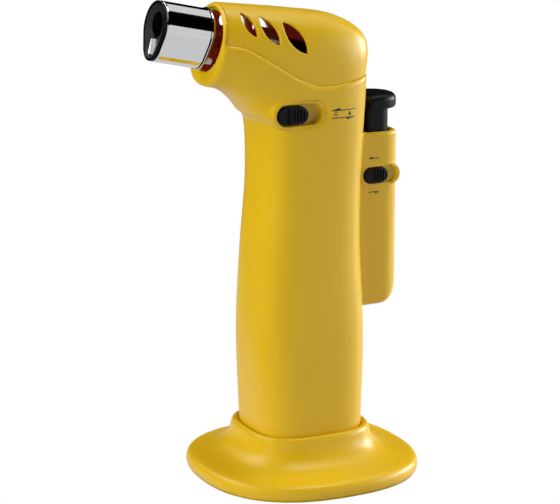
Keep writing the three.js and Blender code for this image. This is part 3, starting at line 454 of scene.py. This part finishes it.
def safety_slider(x, y, z):
    """Safety slider: ribbed cap, neck, flange and stop."""
    outline = stadium(x, z, SAFE_X, SAFE_X + SAFE_LENGTH, SAFE_Z, SAFE_HEIGHT)
    body = np.maximum(both(outline, -11.4 - y, 0.6), y - SAFE_FLOOR + 0.3)
    inside = stadium(x, z, SAFE_X + 0.6, SAFE_X + SAFE_LENGTH - 0.6, SAFE_Z, SAFE_HEIGHT - 1.0)
    for i in range(RIBS):
        middle = SAFE_X + SAFE_RIB + SAFE_RIB_PITCH * i
        rib = both(between(x, middle - SAFE_RIB_HALF, middle + SAFE_RIB_HALF), SAFE_RIB_FACE - y, 0.3)
        body = either(body, both(np.maximum(rib, y + 10.4), inside, 0.2), 0.15)
    neck = np.maximum(between(x, SAFE_X + 2, SAFE_X + 7), between(z, SAFE_Z - 1.2, SAFE_Z + 1.2))
    body = np.minimum(body, np.maximum(neck, between(y, -10.3, -8.4)))
    flange = both(between(x, SAFE_X + 2.4, SAFE_X + 7.4), between(z, SAFE_Z - 2.8, SAFE_Z + 2.8), 0.2)
    body = np.minimum(body, np.maximum(flange, between(y, -8.6, -7.4)))
    stop = np.maximum(between(x, SAFE_X + 4, SAFE_X + 6), between(z, SAFE_Z - 1, SAFE_Z + 1))
    return np.minimum(body, np.maximum(stop, between(y, -7.5, -6.8)))


def plunger(x, y, z):
    """Ignition plunger: domed cap, flat stem, foot on the spring, and the tab over the lever."""
    plan = both(rounded_rect(x, y, 20, CAP_REAR, CAP_HALF, CAP_CORNER), CAP_FRONT - x, 1.5)
    dome = CAP_TOP - 0.003 * ((x - 32) ** 2 + y**2)
    cap = both(both(plan, z - dome, 2.3), CAP_BOTTOM - z, 1.3)
    stem = both(rounded_rect(x, y, 20, STEM_REAR, STEM_HALF, STEM_CORNER), STEM_FRONT - x, 1.0)
    body = either(cap, np.maximum(stem, between(z, STEM_BOTTOM, CAP_BOTTOM + 1.2)), 0.4)
    foot = both(rounded_rect(x, y, FOOT_FRONT, STEM_REAR, FOOT_HALF, FOOT_CORNER), FOOT_BOTTOM - z, 0.8)
    foot = np.maximum(foot, z - FOOT_TOP)
    level = between(z, TAB_BOTTOM, FOOT_TOP)
    neck = np.maximum(between(x, STEM_FRONT, 28), np.maximum(between(y, -FOOT_HALF, FOOT_HALF), level))
    tab = np.maximum(between(x, TAB_FRONT, 27.5), np.maximum(between(y, -TAB_HALF, TAB_HALF), level))
    return np.minimum(np.minimum(body, foot), np.minimum(neck, tab))


# -------------------------------------------------------------------- field to mesh


def axis_points(*stops):
    """Grid lines from (start, step) stops to a last position."""
    lines = [stops[0][0]]
    for (_, step), nxt in zip(stops, stops[1:]):
        end = nxt[0]
        count = max(1, round((end - lines[-1]) / step))
        lines.extend(np.linspace(lines[-1], end, count + 1)[1:])
    return np.array(lines)


CORNERS = np.array([(i, j, k) for i in (0, 1) for j in (0, 1) for k in (0, 1)])
EDGES = [(a, b) for a in range(8) for b in range(a + 1, 8) if np.abs(CORNERS[a] - CORNERS[b]).sum() == 1]


def surface_net(field, grid):
    """Vertices and quads of the surface where a field is zero."""
    values = field(*np.meshgrid(*grid, indexing="ij")).astype(np.float64)
    inside = values < 0
    size = np.array(values.shape) - 1
    count = np.zeros(size, np.int8)
    for i, j, k in CORNERS:
        count += inside[i:size[0] + i, j:size[1] + j, k:size[2] + k]
    active = (count > 0) & (count < 8)
    cells = np.argwhere(active)
    number = np.full(active.shape, -1)
    number[active] = np.arange(len(cells))
    total = np.zeros((len(cells), 3))
    hits = np.zeros(len(cells))
    for a, b in EDGES:
        ia, ib = cells + CORNERS[a], cells + CORNERS[b]
        fa, fb = values[tuple(ia.T)], values[tuple(ib.T)]
        crossed = (fa < 0) != (fb < 0)
        t = np.where(crossed, fa / np.where(crossed, fa - fb, 1), 0)[:, None]
        pa = np.stack([g[ia[:, n]] for n, g in enumerate(grid)], 1)
        pb = np.stack([g[ib[:, n]] for n, g in enumerate(grid)], 1)
        total += np.where(crossed[:, None], pa + t * (pb - pa), 0)
        hits += crossed
    quads = []
    for axis in range(3):
        u, v = (axis + 1) % 3, (axis + 2) % 3
        low = [slice(None)] * 3
        high = [slice(None)] * 3
        low[axis], high[axis] = slice(0, -1), slice(1, None)
        for other in (u, v):
            low[other] = high[other] = slice(1, -1)
        first, second = inside[tuple(low)], inside[tuple(high)]
        spots = np.argwhere(first != second)
        outward = first[tuple(spots.T)]
        offset = np.zeros(3, int)
        offset[u] = offset[v] = 1
        spots = spots + offset
        step_u, step_v = np.eye(3, dtype=int)[u], np.eye(3, dtype=int)[v]
        ring = [number[tuple((spots - s).T)] for s in (step_u + step_v, step_v, 0 * step_u, step_u)]
        ring = np.stack(ring, 1)
        quads.append(np.where(outward[:, None], ring, ring[:, ::-1]))
    return total / hits[:, None], np.vstack(quads)


def settle(points, quads, field, size):
    """Evens out the net and moves its points onto the exact surface."""
    edges = np.vstack([quads[:, [i, (i + 1) % 4]] for i in range(4)])
    degree = np.bincount(edges.ravel(), minlength=len(points))[:, None]
    for relax in (0.5, 0.5, 0.0):
        if relax:
            near = np.zeros_like(points)
            for n in range(3):
                near[:, n] = np.bincount(edges[:, 0], points[edges[:, 1], n], len(points))
                near[:, n] += np.bincount(edges[:, 1], points[edges[:, 0], n], len(points))
            points = points + relax * (near / degree - points)
        for _ in range(2):
            value = field(*points.T)
            slope = np.stack([
                (field(*(points + d).T) - field(*(points - d).T)) / 0.02
                for d in np.eye(3) * 0.01], 1)
            length = (slope**2).sum(1) + 1e-6
            step = -(value / length)[:, None] * slope
            limit = size / (np.linalg.norm(step, axis=1, keepdims=True) + 1e-9)
            points = points + step * np.minimum(1, limit)
    return points


def make_object(name, points, faces, smooth_angle=None):
    mesh = bpy.data.meshes.new(name)
    mesh.from_pydata((np.asarray(points) * MM).tolist(), [], [tuple(f) for f in faces])
    mesh.shade_smooth()
    if smooth_angle:
        mesh.set_sharp_from_angle(angle=math.radians(smooth_angle))
    obj = bpy.data.objects.new(name, mesh)
    bpy.context.scene.collection.objects.link(obj)
    return obj


def from_nozzle(points):
    """Points given as (depth, across, height) along the flame tube, in the model's frame."""
    d, y, h = np.asarray(points).T
    return NOZZLE + d[:, None] * REARWARD + h[:, None] * UPWARD + y[:, None] * np.array([0, 1.0, 0])


def seam_rim(points, quads, seam, size):
    """Vertices of the parting face that border on the rest of the skin."""
    face = points[:, 1] * seam["side"] < size
    edges = np.vstack([quads[:, [i, (i + 1) % 4]] for i in range(4)])
    border = edges[face[edges[:, 0]] != face[edges[:, 1]]]
    return np.unique(border[face[border]])


def onto_seam(points, seam, size):
    """Points moved to where the uncut body's skin meets the parting plane."""
    moved = points.copy()
    moved[:, 1] = SEAM * seam["side"]
    body = seam["body"]
    for _ in range(4):
        value = body(*moved.T)
        slope = np.stack([
            (body(*(moved + d).T) - body(*(moved - d).T)) / 0.02
            for d in np.diag([0.01, 0, 0.01])], 1)
        slope[:, 1] = 0
        step = -(value / ((slope**2).sum(1) + 1e-6))[:, None] * slope
        limit = 0.5 * size / (np.linalg.norm(step, axis=1, keepdims=True) + 1e-9)
        moved = moved + step * np.minimum(1, limit)
    settled = np.abs(body(*moved.T)) < 0.02
    near = np.linalg.norm(moved - points, axis=1) < 1.5 * size
    return np.where((settled & near)[:, None], moved, points)


def field_piece(name, field, grid, size, place=None, smooth_angle=40, seam=None):
    points, quads = surface_net(field, grid)
    rim = seam_rim(points, quads, seam, size) if seam else None
    points = settle(points, quads, field, size)
    if seam:
        points[rim] = onto_seam(points[rim], seam, size)
    if place:
        points = place(points)
    return make_object(name, points, quads.tolist(), smooth_angle)


# -------------------------------------------------------------------- rings of points


def closed_object(name, points, faces, smooth_angle=None):
    """A closed skin whose faces are turned to look outward."""
    points = np.asarray(points, float)
    volume = 0.0
    for face in faces:
        corner = points[list(face)]
        fan = np.cross(corner[1:-1], corner[2:])
        volume += (fan @ corner[0]).sum()
    if volume < 0:
        faces = [tuple(reversed(face)) for face in faces]
    return make_object(name, points, faces, smooth_angle)


def ring_piece(name, rings, closed_loop=False, smooth_angle=40):
    """A skin through rings; its ends are capped, or joined when the loop closes."""
    around = len(rings[0])
    points = np.vstack(rings)
    faces = []
    last = len(rings) if closed_loop else len(rings) - 1
    for i in range(last):
        for j in range(around):
            k = (j + 1) % around
            n = (i + 1) % len(rings)
            faces.append((i * around + j, i * around + k, n * around + k, n * around + j))
    if not closed_loop:
        faces.append(tuple(reversed(range(around))))
        faces.append(tuple(range((len(rings) - 1) * around, len(rings) * around)))
    return closed_object(name, points, faces, smooth_angle)


def super_ring(middle_x, z, half_x, half_y, power, around=192):
    turn = np.linspace(0, 2 * np.pi, around, endpoint=False)
    angle = np.arctan2(np.sin(turn) * half_y, np.cos(turn) * half_x)
    r = (np.abs(np.cos(angle) / half_x) ** power + np.abs(np.sin(angle) / half_y) ** power) ** (-1 / power)
    return np.stack([middle_x + r * np.cos(angle), r * np.sin(angle), np.full(around, z)], 1)


def teardrop_ring(inset, d, around=144):
    """Points round the flame tube's outline at a depth."""
    top, bottom = SLEEVE_TOP - inset, SLEEVE_BOTTOM - inset
    lean = math.asin((top - bottom) / SLEEVE_DROP)
    upper = np.linspace(-lean, math.pi + lean, around * 2 // 3)
    lower = np.linspace(math.pi + lean, 2 * math.pi - lean, around - len(upper))
    y = np.concatenate([top * np.cos(upper), bottom * np.cos(lower)])
    up = np.concatenate([top * np.sin(upper), bottom * np.sin(lower) - SLEEVE_DROP])
    return from_nozzle(np.stack([np.full(around, d), y, up], 1))


def round_ring(radius, d, rise=0.0, around=64):
    turn = np.linspace(0, 2 * np.pi, around, endpoint=False)
    across, up = radius * np.cos(turn), rise + radius * np.sin(turn)
    return from_nozzle(np.stack([np.full(around, d), across, up], 1))


# ------------------------------------------------------------------------- materials


def material(name, color, rough, metal=0.0, **extra):
    """A Principled material with fine procedural variation of colour, gloss and relief."""
    mat = bpy.data.materials.new(name)
    mat.use_nodes = True
    nodes, links = mat.node_tree.nodes, mat.node_tree.links
    shader = nodes["Principled BSDF"]
    shader.inputs["Metallic"].default_value = metal
    for key, value in extra.get("sockets", {}).items():
        shader.inputs[key].default_value = value
    place = nodes.new("ShaderNodeTexCoord")
    broad = nodes.new("ShaderNodeTexNoise")
    broad.inputs["Scale"].default_value = extra.get("broad", 30)
    broad.inputs["Detail"].default_value = 3
    links.new(place.outputs["Object"], broad.inputs["Vector"])
    tint = nodes.new("ShaderNodeMix")
    tint.data_type = "RGBA"
    second = extra.get("second") or tuple(c * 0.93 for c in color)
    tint.inputs["A"].default_value = (*color, 1)
    tint.inputs["B"].default_value = (*second, 1)
    links.new(broad.outputs["Fac"], tint.inputs["Factor"])
    links.new(tint.outputs["Result"], shader.inputs["Base Color"])
    fine = nodes.new("ShaderNodeTexNoise")
    fine.inputs["Scale"].default_value = extra.get("fine", 1800)
    fine.inputs["Detail"].default_value = 2
    links.new(place.outputs["Object"], fine.inputs["Vector"])
    gloss = nodes.new("ShaderNodeMapRange")
    gloss.inputs["To Min"].default_value = rough * (1 - extra.get("spread", 0.12))
    gloss.inputs["To Max"].default_value = rough * (1 + extra.get("spread", 0.12))
    links.new(fine.outputs["Fac"], gloss.inputs["Value"])
    links.new(gloss.outputs["Result"], shader.inputs["Roughness"])
    bump = nodes.new("ShaderNodeBump")
    bump.inputs["Strength"].default_value = extra.get("relief", 0.05)
    bump.inputs["Distance"].default_value = 0.00005
    links.new(fine.outputs["Fac"], bump.inputs["Height"])
    links.new(bump.outputs["Normal"], shader.inputs["Normal"])
    return mat


YELLOW = material("yellow_plastic", (0.80, 0.50, 0.006), 0.36,
                  second=(0.75, 0.465, 0.005), broad=18, relief=0.04)
BLACK = material("black_plastic", (0.0022, 0.0024, 0.0028), 0.36,
                 second=(0.0035, 0.0038, 0.0045), relief=0.05, sockets={"Specular IOR Level": 0.16})
CHROME = material("chrome", (0.83, 0.84, 0.86), 0.07, 1.0, relief=0.01, spread=0.25, broad=60)
STEEL = material("steel", (0.5, 0.5, 0.5), 0.32, 1.0, relief=0.03)
BRASS = material("brass", (0.62, 0.4, 0.12), 0.28, 1.0, relief=0.03)
# Dark red for the sheet inside the head: the red stands in for the deep shade inside the yellow head, seen
# through the vents and the mouth (painted shade), and the faint red emission is a painted glow.
LINER_PAINTED_SHADE_GLOW = material("heat_liner", (0.62, 0.05, 0.02), 0.5, second=(0.42, 0.03, 0.012), broad=90,
                 sockets={"Emission Color": (1, 0.09, 0.04, 1), "Emission Strength": 0.05})
# White ceramic with a faint white emission: a painted glow that stands in for the highlight on the glaze.
CERAMIC_PAINTED_GLOW = material("ceramic", (0.93, 0.92, 0.9), 0.3, relief=0.04, second=(0.9, 0.89, 0.87),
                   sockets={"Emission Color": (1, 1, 1, 1), "Emission Strength": 0.2})
TANK = material("tank_plastic", (0.7, 0.68, 0.62), 0.4, relief=0.05)
# Lighter bluish grey for the black insert's front dish: a painted sheen of light on the same black plastic.
DISH_PAINTED_SHEEN = material("insert_dish_painted_sheen", (0.014, 0.019, 0.024), 0.45, relief=0.06, second=(0.02, 0.026, 0.032))
RUBBER = material("rubber", (0.02, 0.02, 0.022), 0.6, relief=0.15)
INK = material("ink", (0.014, 0.012, 0.01), 0.5, relief=0.03)


def dress(obj, mat, body, replaces=None):
    obj.data.materials.clear()
    obj.data.materials.append(mat)
    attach(obj, body)
    if replaces:
        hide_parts(replaces)
    return obj


# ------------------------------------------------------------------------ the pieces


def build_mouldings():
    fine = 0.54
    xs = axis_points((-47, fine), (42, fine))
    left = axis_points((-24, fine), (1.5, fine))
    zs = axis_points((1.8, 1.0), (6, 2.0), (62, 1.0), (66, 0.8), (112, 0.47), (193, 0.47))
    for side, name in ((-1, "handle_shell_left"), (1, "handle_shell_right")):
        ys = left if side < 0 else -left[::-1]
        def body(x, y, z, s=side):
            return shell(x, y, z, s)

        def half(x, y, z, s=side):
            return np.maximum(shell(x, y, z, s), SEAM - y * s)

        seam = {"side": side, "body": body}
        obj = field_piece(name + "_fine", half, (xs, ys, zs), fine, seam=seam)
        dress(obj, YELLOW, "torch", name)
    grid = (axis_points((-42, 0.45), (26, 0.45)), axis_points((-20.5, 0.45), (20.5, 0.45)),
            axis_points((153, 0.45), (193, 0.45)))
    cover = field_piece("head_cover_fine", head_cover, grid, 0.45)
    dress(cover, YELLOW, "torch", "head_cover")
    grid = (axis_points((-42, 0.5), (22, 0.5)), axis_points((-18, 0.5), (18, 0.5)),
            axis_points((150, 0.5), (190, 0.5)))
    liner = field_piece("liner_painted_shade_fine", heat_liner, grid, 0.5)
    dress(liner, LINER_PAINTED_SHADE_GLOW, "torch", "heat_liner")


def faired(rows, spacing, passes):
    """A smooth line through rows, sampled evenly and relaxed so that it has no ripples."""
    line = catmull(rows, np.linspace(0, len(rows) - 1, 40 * len(rows)))
    run = np.concatenate([[0], np.cumsum(np.hypot(*np.diff(line, axis=0).T))])
    at = np.linspace(0, run[-1], max(4, round(run[-1] / spacing)))
    line = np.stack([np.interp(at, run, line[:, 0]), np.interp(at, run, line[:, 1])], 1)
    for _ in range(passes):
        line[1:-1] = 0.5 * line[1:-1] + 0.25 * (line[:-2] + line[2:])
    return line


def straight_section(z):
    """Middle, half-length and half-width of the handle at a height."""
    front, rear, half = (np.interp(z, STRAIGHT[:, 1], STRAIGHT[:, n]) for n in (0, 2, 4))
    return (front + rear) / 2, (rear - front) / 2, half


def stand_rings():
    """Rings of the stand from the middle of its underside to the floor of its socket."""
    under = faired(STAND_UNDER[1:-1], 0.9, 4)
    top = faired(STAND_TOP[:-1], 0.4, 10)
    profile = np.vstack([[STAND_UNDER[0]], under, [STAND_UNDER[-1]], top, [STAND_TOP[-1]]])
    profile[:, 0] = np.minimum(profile[:, 0], RIM_OFFSET)
    profile[:, 1] = np.maximum(profile[:, 1], 0)
    rings = []
    for offset, z in profile:
        share = min(max(offset / RIM_OFFSET, 0), 1)
        ease = share * share * (3 - 2 * share)
        middle, half_x, half_y = straight_section(z if offset <= SOCKET_FIT + 0.01 else SOCKET_TOP)
        half_x = (half_x + offset) * (1 - ease) + (RIM_X - RIM_OFFSET + offset) * ease
        half_y = (half_y + offset) * (1 - ease) + (RIM_Y - RIM_OFFSET + offset) * ease
        rings.append(super_ring(middle * (1 - ease), z, half_x, half_y, 3 + (RIM_POWER - 3) * ease))
    return rings


def stand_rib(turn):
    """Stiffening rib under the stand, reaching out along one axis."""
    middle, half_x, half_y = straight_section(SOCKET_TOP)
    near = half_y if turn % 2 else half_x + middle * math.cos(turn * math.pi / 2)
    far = (RIM_Y if turn % 2 else RIM_X) - RIM_OFFSET
    points = []
    for across in (-0.8, 0.8):
        for offset, z in STAND_RIB:
            share = offset / RIM_OFFSET
            ease = share * share * (3 - 2 * share)
            points.append(((near * (1 - ease) + far * ease) + offset, across, z))
    c, s = round(math.cos(turn * math.pi / 2)), round(math.sin(turn * math.pi / 2))
    points = [(x * c - y * s, x * s + y * c, z) for x, y, z in points]
    n = len(STAND_RIB)
    faces = [(i, (i + 1) % n, n + (i + 1) % n, n + i) for i in range(n)]
    faces += [tuple(reversed(range(n))), tuple(range(n, 2 * n))]
    return closed_object(f"stand_rib_{turn + 1}", points, faces, 30)


def build_stand():
    stand = ring_piece("stand_fine", stand_rings(), smooth_angle=50)
    dress(stand, YELLOW, "stand", "stand")
    for turn in range(4):
        dress(stand_rib(turn), YELLOW, "stand")


def sleeve_profile():
    """Closed outline of the sleeve's wall as (inset, depth)."""
    front, rear, wall = SLEEVE_FRONT, SLEEVE_REAR, SLEEVE_WALL
    outer = [(wall * 0.5, front), (wall * 0.15, front + 0.08), (0, front + 0.3)]
    outer += [(0, d) for d in np.linspace(front + 1, rear - 2, 12)]
    outer += [(0, rear - 0.95), (-0.12, rear - 1.1), (-0.35, rear - 0.85), (-0.48, rear - 0.5)]
    outer += [(-0.4, rear - 0.18), (-0.1, rear)]
    inner = [(wall * 0.7, rear), (wall, rear - 0.3), (wall, rear - 6), (wall, front + 0.3)]
    return outer + inner


def paint_dish_sheen(insert):
    """Paints the insert's front dish a lighter bluish grey than its rim and its bores: a painted sheen of
    light on the black plastic.
    """
    insert.data.materials.append(DISH_PAINTED_SHEEN)
    for face in insert.data.polygons:
        offset = np.array(face.center) / MM - NOZZLE
        d, up = offset @ REARWARD, offset @ UPWARD
        bore = math.hypot(offset[1], up - FLAME_RISE) < FLAME_HOLE + 0.3
        if d < 2.0 and not bore and teardrop(offset[1], up) < -1.3:
            face.material_index = 1


def build_flame_parts():
    sleeve = ring_piece("flame_sleeve_fine", [teardrop_ring(i, d) for i, d in sleeve_profile()], True, 50)
    dress(sleeve, CHROME, "torch", "flame_sleeve")
    grid = (axis_points((-0.6, 0.2), (6.6, 0.2)), axis_points((-10.4, 0.24), (10.4, 0.24)),
            axis_points((-14.4, 0.24), (10.6, 0.24)))
    insert = field_piece("mouth_insert_fine", mouth_insert, grid, 0.2, from_nozzle)
    dress(insert, BLACK, "torch", "mouth_insert")
    paint_dish_sheen(insert)
    grid = (axis_points((-0.4, 0.15), (1.5, 0.5), (27, 0.5)), axis_points((-2.2, 0.15), (2.2, 0.15)),
            axis_points((-12, 0.15), (-2.5, 0.15)))
    ceramic = field_piece("igniter_insulator_fine", insulator, grid, 0.15, from_nozzle)
    dress(ceramic, CERAMIC_PAINTED_GLOW, "torch", "igniter_insulator")
    wall = [(3.8, 6.4), (4.4, 6.4), (4.4, 8), (4.4, 20), (4.4, 34)]
    wall += [(4.4, 40), (4.55, 41), (4.55, 43), (3.8, 43)]
    burner = ring_piece("burner_tube_fine", [round_ring(r, d) for r, d in wall], True, 30)
    dress(burner, BRASS, "torch", "burner_tube")


def build_controls():
    grid = (axis_points((-21, 0.2), (-5.4, 0.2)), axis_points((-21.2, 0.2), (-13.2, 0.6), (-4, 0.6)),
            axis_points((130.8, 0.5), (142, 0.2), (153.4, 0.2)))
    lock = field_piece("flame_lock_fine", lock_slider, grid, 0.2)
    dress(lock, BLACK, "flame_lock", "flame_lock_slider")
    grid = (axis_points((21.4, 0.15), (33.2, 0.15)), axis_points((-12.6, 0.15), (-6.4, 0.15)),
            axis_points((115.9, 0.15), (123.1, 0.15)))
    safety = field_piece("safety_slider_fine", safety_slider, grid, 0.15)
    dress(safety, BLACK, "safety_lock", "safety_slider")
    grid = (axis_points((22.6, 0.4), (40.6, 0.4)), axis_points((-11.4, 0.4), (11.4, 0.4)),
            axis_points((120.2, 0.6), (138, 0.4), (153.2, 0.4)))
    dress(field_piece("plunger_fine", plunger, grid, 0.4), BLACK, "plunger", "plunger")


def skin(x, z):
    """Where the handle's left skin lies, at points given in the side view."""
    inner, outer = np.full(np.shape(x), -4.0), np.full(np.shape(x), -28.0)
    for _ in range(40):
        y = (inner + outer) / 2
        inside = handle(x, y, z) < 0
        inner, outer = np.where(inside, y, inner), np.where(inside, outer, y)
    return outer


def print_strip(name, low, high, skin_at):
    """A thin closed strip of ink between two lines of (x, z) points, laid on the skin."""
    low, high = np.asarray(low, float), np.asarray(high, float)
    rings = []
    for lift in (INK_FRONT, INK_REAR):
        for line in (low, high):
            rings.append(np.stack([line[:, 0], skin_at(line[:, 0], line[:, 1]) + lift, line[:, 1]], 1))
    points = np.vstack(rings)
    n = len(low)
    faces = []
    for i in range(n - 1):
        for a, b in ((0, 1), (1, 3), (3, 2), (2, 0)):
            faces.append((a * n + i, a * n + i + 1, b * n + i + 1, b * n + i))
    faces += [(0, n, 3 * n, 2 * n), (n - 1, 3 * n - 1, 4 * n - 1, 2 * n - 1)]
    return dress(closed_object(name, points, faces), INK, "torch")


def print_arrow(name, left, right, z, way, skin_at, head=3.6, rise=0.8):
    """A long thin arrow with half a head; it points left (way -1) or right (way 1)."""
    x = np.unique(np.concatenate([np.linspace(left, right, 25), [left + head, right - head]]))
    tip = left if way < 0 else right
    reach = np.abs(x - tip)
    flare = np.where(reach <= head, rise * reach / head, 0) * (reach > 0.2)
    half = INK_LINE / 2
    low = z - half - (flare if way > 0 else 0)
    high = z + half + (flare if way < 0 else 0)
    print_strip(name, np.stack([x, low + 0 * x], 1), np.stack([x, high + 0 * x], 1), skin_at)


def print_ring(name, x, z, radius, start, end, skin_at, line):
    """A printed arc round a point."""
    turn = np.radians(np.linspace(start, end, 25))
    arcs = [np.stack([x + r * np.cos(turn), z + r * np.sin(turn)], 1) for r in (radius, radius + line)]
    print_strip(name, arcs[0], arcs[1], skin_at)


def print_signs():
    """Arrows at both sliders, with an open ring and a padlock between those of the flame lock."""
    def flat(x, z):
        return np.full(np.shape(x), -HOUSING_HALF)

    print_arrow("ink_arrow_lock_upper", 2.6, 13.4, 148.6, -1, skin)
    print_arrow("ink_arrow_lock_lower", 2.6, 13.0, 145.7, 1, skin)
    print_ring("ink_ring", 4.3, 147.2, 0.55, 0, 357, skin, 0.25)
    print_ring("ink_shackle", 10.6, 147.35, 0.3, 0, 180, skin, 0.2)
    x = np.linspace(9.95, 11.25, 5)
    print_strip("ink_lock_body", np.stack([x, 0 * x + 146.5], 1), np.stack([x, 0 * x + 147.35], 1), skin)
    print_arrow("ink_arrow_safety_upper", 24.4, 28.8, 126.3, -1, flat, 1.6, 0.7)
    print_arrow("ink_arrow_safety_lower", 24.2, 28.7, 112.8, 1, flat, 1.6, 0.7)


def build_spring():
    """Return spring under the plunger."""
    rings = []
    turn = np.linspace(0, 2 * np.pi, 12, endpoint=False)
    for share in np.linspace(0, 1, SPRING_TURNS * 24 + 1):
        angle = 2 * np.pi * SPRING_TURNS * share
        out = np.array([math.cos(angle), math.sin(angle), 0.0])
        rise = (SPRING_TOP - SPRING_BOTTOM - SPRING_WIRE) / (2 * np.pi * SPRING_TURNS)
        along = np.array([-SPRING_RADIUS * out[1], SPRING_RADIUS * out[0], rise])
        side = np.cross(out, along / np.linalg.norm(along))
        middle = SPRING_RADIUS * out + [PISTON_X, 0, SPRING_BOTTOM + SPRING_WIRE / 2 + rise * angle]
        section = np.outer(np.cos(turn), out) + np.outer(np.sin(turn), side)
        rings.append(middle + SPRING_WIRE / 2 * section)
    spring = dress(ring_piece("plunger_spring_fine", rings), STEEL, "torch", "plunger_spring")
    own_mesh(spring)


def finish_inner_parts():
    """The enclosed CAD parts keep their shape and get a finish of their own."""
    looks = {"steel": STEEL, "brass": BRASS, "chrome": CHROME, "black_plastic": BLACK, "rubber": RUBBER,
             "ceramic": CERAMIC_PAINTED_GLOW, "tank_plastic": TANK, "yellow_plastic": YELLOW, "heat_liner": LINER_PAINTED_SHADE_GLOW}
    for row in frame["record"]["subparts"]:
        obj = frame["nodes"][row["node"]]
        obj.data.materials.clear()
        obj.data.materials.append(looks[row["material_slot"]])
    mixer = frame["nodes"]["mixing_chamber"]
    mixer.data.materials.clear()
    mixer.data.materials.append(STEEL)


# ------------------------------------------------------------------- camera and studio

VIEW_AZIMUTH = math.radians(-27)
EYE_DISTANCE, EYE_HEIGHT = 0.8325, 0.29295
AIM = Vector((-0.00774, 0.00394, 0.0888))


def add_camera():
    back = Vector((math.sin(VIEW_AZIMUTH), -math.cos(VIEW_AZIMUTH), 0))
    cam = bpy.data.cameras.new("camera")
    cam.lens = 138.6
    cam.sensor_width = 36
    obj = bpy.data.objects.new("camera", cam)
    bpy.context.scene.collection.objects.link(obj)
    obj.location = back * EYE_DISTANCE + Vector((0, 0, EYE_HEIGHT))
    obj.rotation_euler = (AIM - obj.location).to_track_quat("-Z", "Y").to_euler()
    bpy.context.scene.camera = obj


def add_light(name, place, aim, size, power, color=(1, 1, 1)):
    data = bpy.data.lights.new(name, "AREA")
    data.shape = "RECTANGLE"
    data.size, data.size_y = size
    data.energy = power
    data.color = color
    obj = bpy.data.objects.new(name, data)
    bpy.context.scene.collection.objects.link(obj)
    obj.location = place
    obj.rotation_euler = (Vector(aim) - Vector(place)).to_track_quat("-Z", "Y").to_euler()
    return obj


LIGHTS = (  # azimuth, elevation, watts, width, height
    ("rim_right", 0, 12, 15.1, 0.55, 0.55),
    ("key_front", 195, 12, 11.2, 0.9, 0.55),
    ("side_fill", 240, 12, 1.0, 0.55, 0.55),
    ("low_right", 330, 12, 5.0, 0.55, 0.55),
    ("back_left", 135, 42, 5.3, 0.9, 0.55),
    ("front_high", 180, 42, 1.6, 0.55, 0.55),
    ("back_high", 60, 42, 0.7, 0.55, 0.55),
    ("right_high", 0, 42, 1.2, 0.55, 0.55),
    ("top", 0, 80, 5.8, 0.55, 0.55),
)
LIGHT_REACH = 1.3
LIGHT_AIM = Vector((0, 0, 0.1))
UNSEEN_IN_GLOSS = ("key_front", "back_high")
CARDS = (  # corners in millimetres, brightness
    ("table_card", ((-110, -900, 1), (700, -900, 1), (700, 500, 1), (-110, 500, 1)), 0.66),
    ("wall_card", ((0, -900, 0), (800, -900, 0), (800, -900, 362), (0, -900, 362)), 0.66),
    ("high_card", ((389, -63, 606), (243, -41, 710), (210, 381, 572), (356, 359, 468)), 0.72),
)


def white_to_camera(tree, shader, kind):
    """Shows white to the camera and the given shader to every other ray."""
    nodes, links = tree.nodes, tree.links
    path = nodes.new("ShaderNodeLightPath")
    white = nodes.new(kind)
    white.inputs["Color"].default_value = (1, 1, 1, 1)
    white.inputs["Strength"].default_value = 1.0
    choice = nodes.new("ShaderNodeMixShader")
    out = next(n for n in nodes if n.type.startswith("OUTPUT"))
    links.new(path.outputs["Is Camera Ray"], choice.inputs[0])
    links.new(shader.outputs[0], choice.inputs[1])
    links.new(white.outputs[0], choice.inputs[2])
    links.new(choice.outputs[0], out.inputs["Surface"])


def add_card(name, corners, glow):
    """A white card that is seen only in reflections."""
    card = make_object(name, corners, [(0, 1, 2, 3)])
    mat = bpy.data.materials.new(name)
    mat.use_nodes = True
    shader = mat.node_tree.nodes["Principled BSDF"]
    shader.inputs["Base Color"].default_value = (0, 0, 0, 1)
    shader.inputs["Emission Color"].default_value = (1, 1, 1, 1)
    shader.inputs["Emission Strength"].default_value = glow
    card.data.materials.append(mat)
    card.visible_camera = card.visible_diffuse = card.visible_shadow = False


def add_studio():
    world = bpy.data.worlds.new("studio")
    bpy.context.scene.world = world
    world.use_nodes = True
    background = world.node_tree.nodes["Background"]
    background.inputs["Strength"].default_value = 0.0
    white_to_camera(world.node_tree, background, "ShaderNodeBackground")
    floor = make_object("floor", [(-4000, -4000, 0), (4000, -4000, 0), (4000, 4000, 0), (-4000, 4000, 0)],
                        [(0, 1, 2, 3)])
    floor.location.z = CAD_BOX[0][2] - 0.0002
    pale = material("floor_paper", (0.42, 0.42, 0.42), 0.8, second=(0.4, 0.4, 0.4), broad=3, fine=300)
    floor.data.materials.append(pale)
    white_to_camera(pale.node_tree, pale.node_tree.nodes["Principled BSDF"], "ShaderNodeEmission")
    floor.visible_glossy = False
    for name, corners, glow in CARDS:
        add_card(name, corners, glow)
    for name, azimuth, elevation, watts, width, tall in LIGHTS:
        a, e = math.radians(azimuth), math.radians(elevation)
        way = Vector((math.cos(a) * math.cos(e), math.sin(a) * math.cos(e), math.sin(e)))
        light = add_light(name, LIGHT_AIM + way * LIGHT_REACH, LIGHT_AIM, (width, tall), watts)
        light.visible_glossy = name not in UNSEEN_IN_GLOSS
    bpy.context.scene.view_settings.view_transform = "Standard"


finish_inner_parts()
build_mouldings()
build_stand()
build_flame_parts()
build_controls()
build_spring()
print_signs()
add_camera()
add_studio()
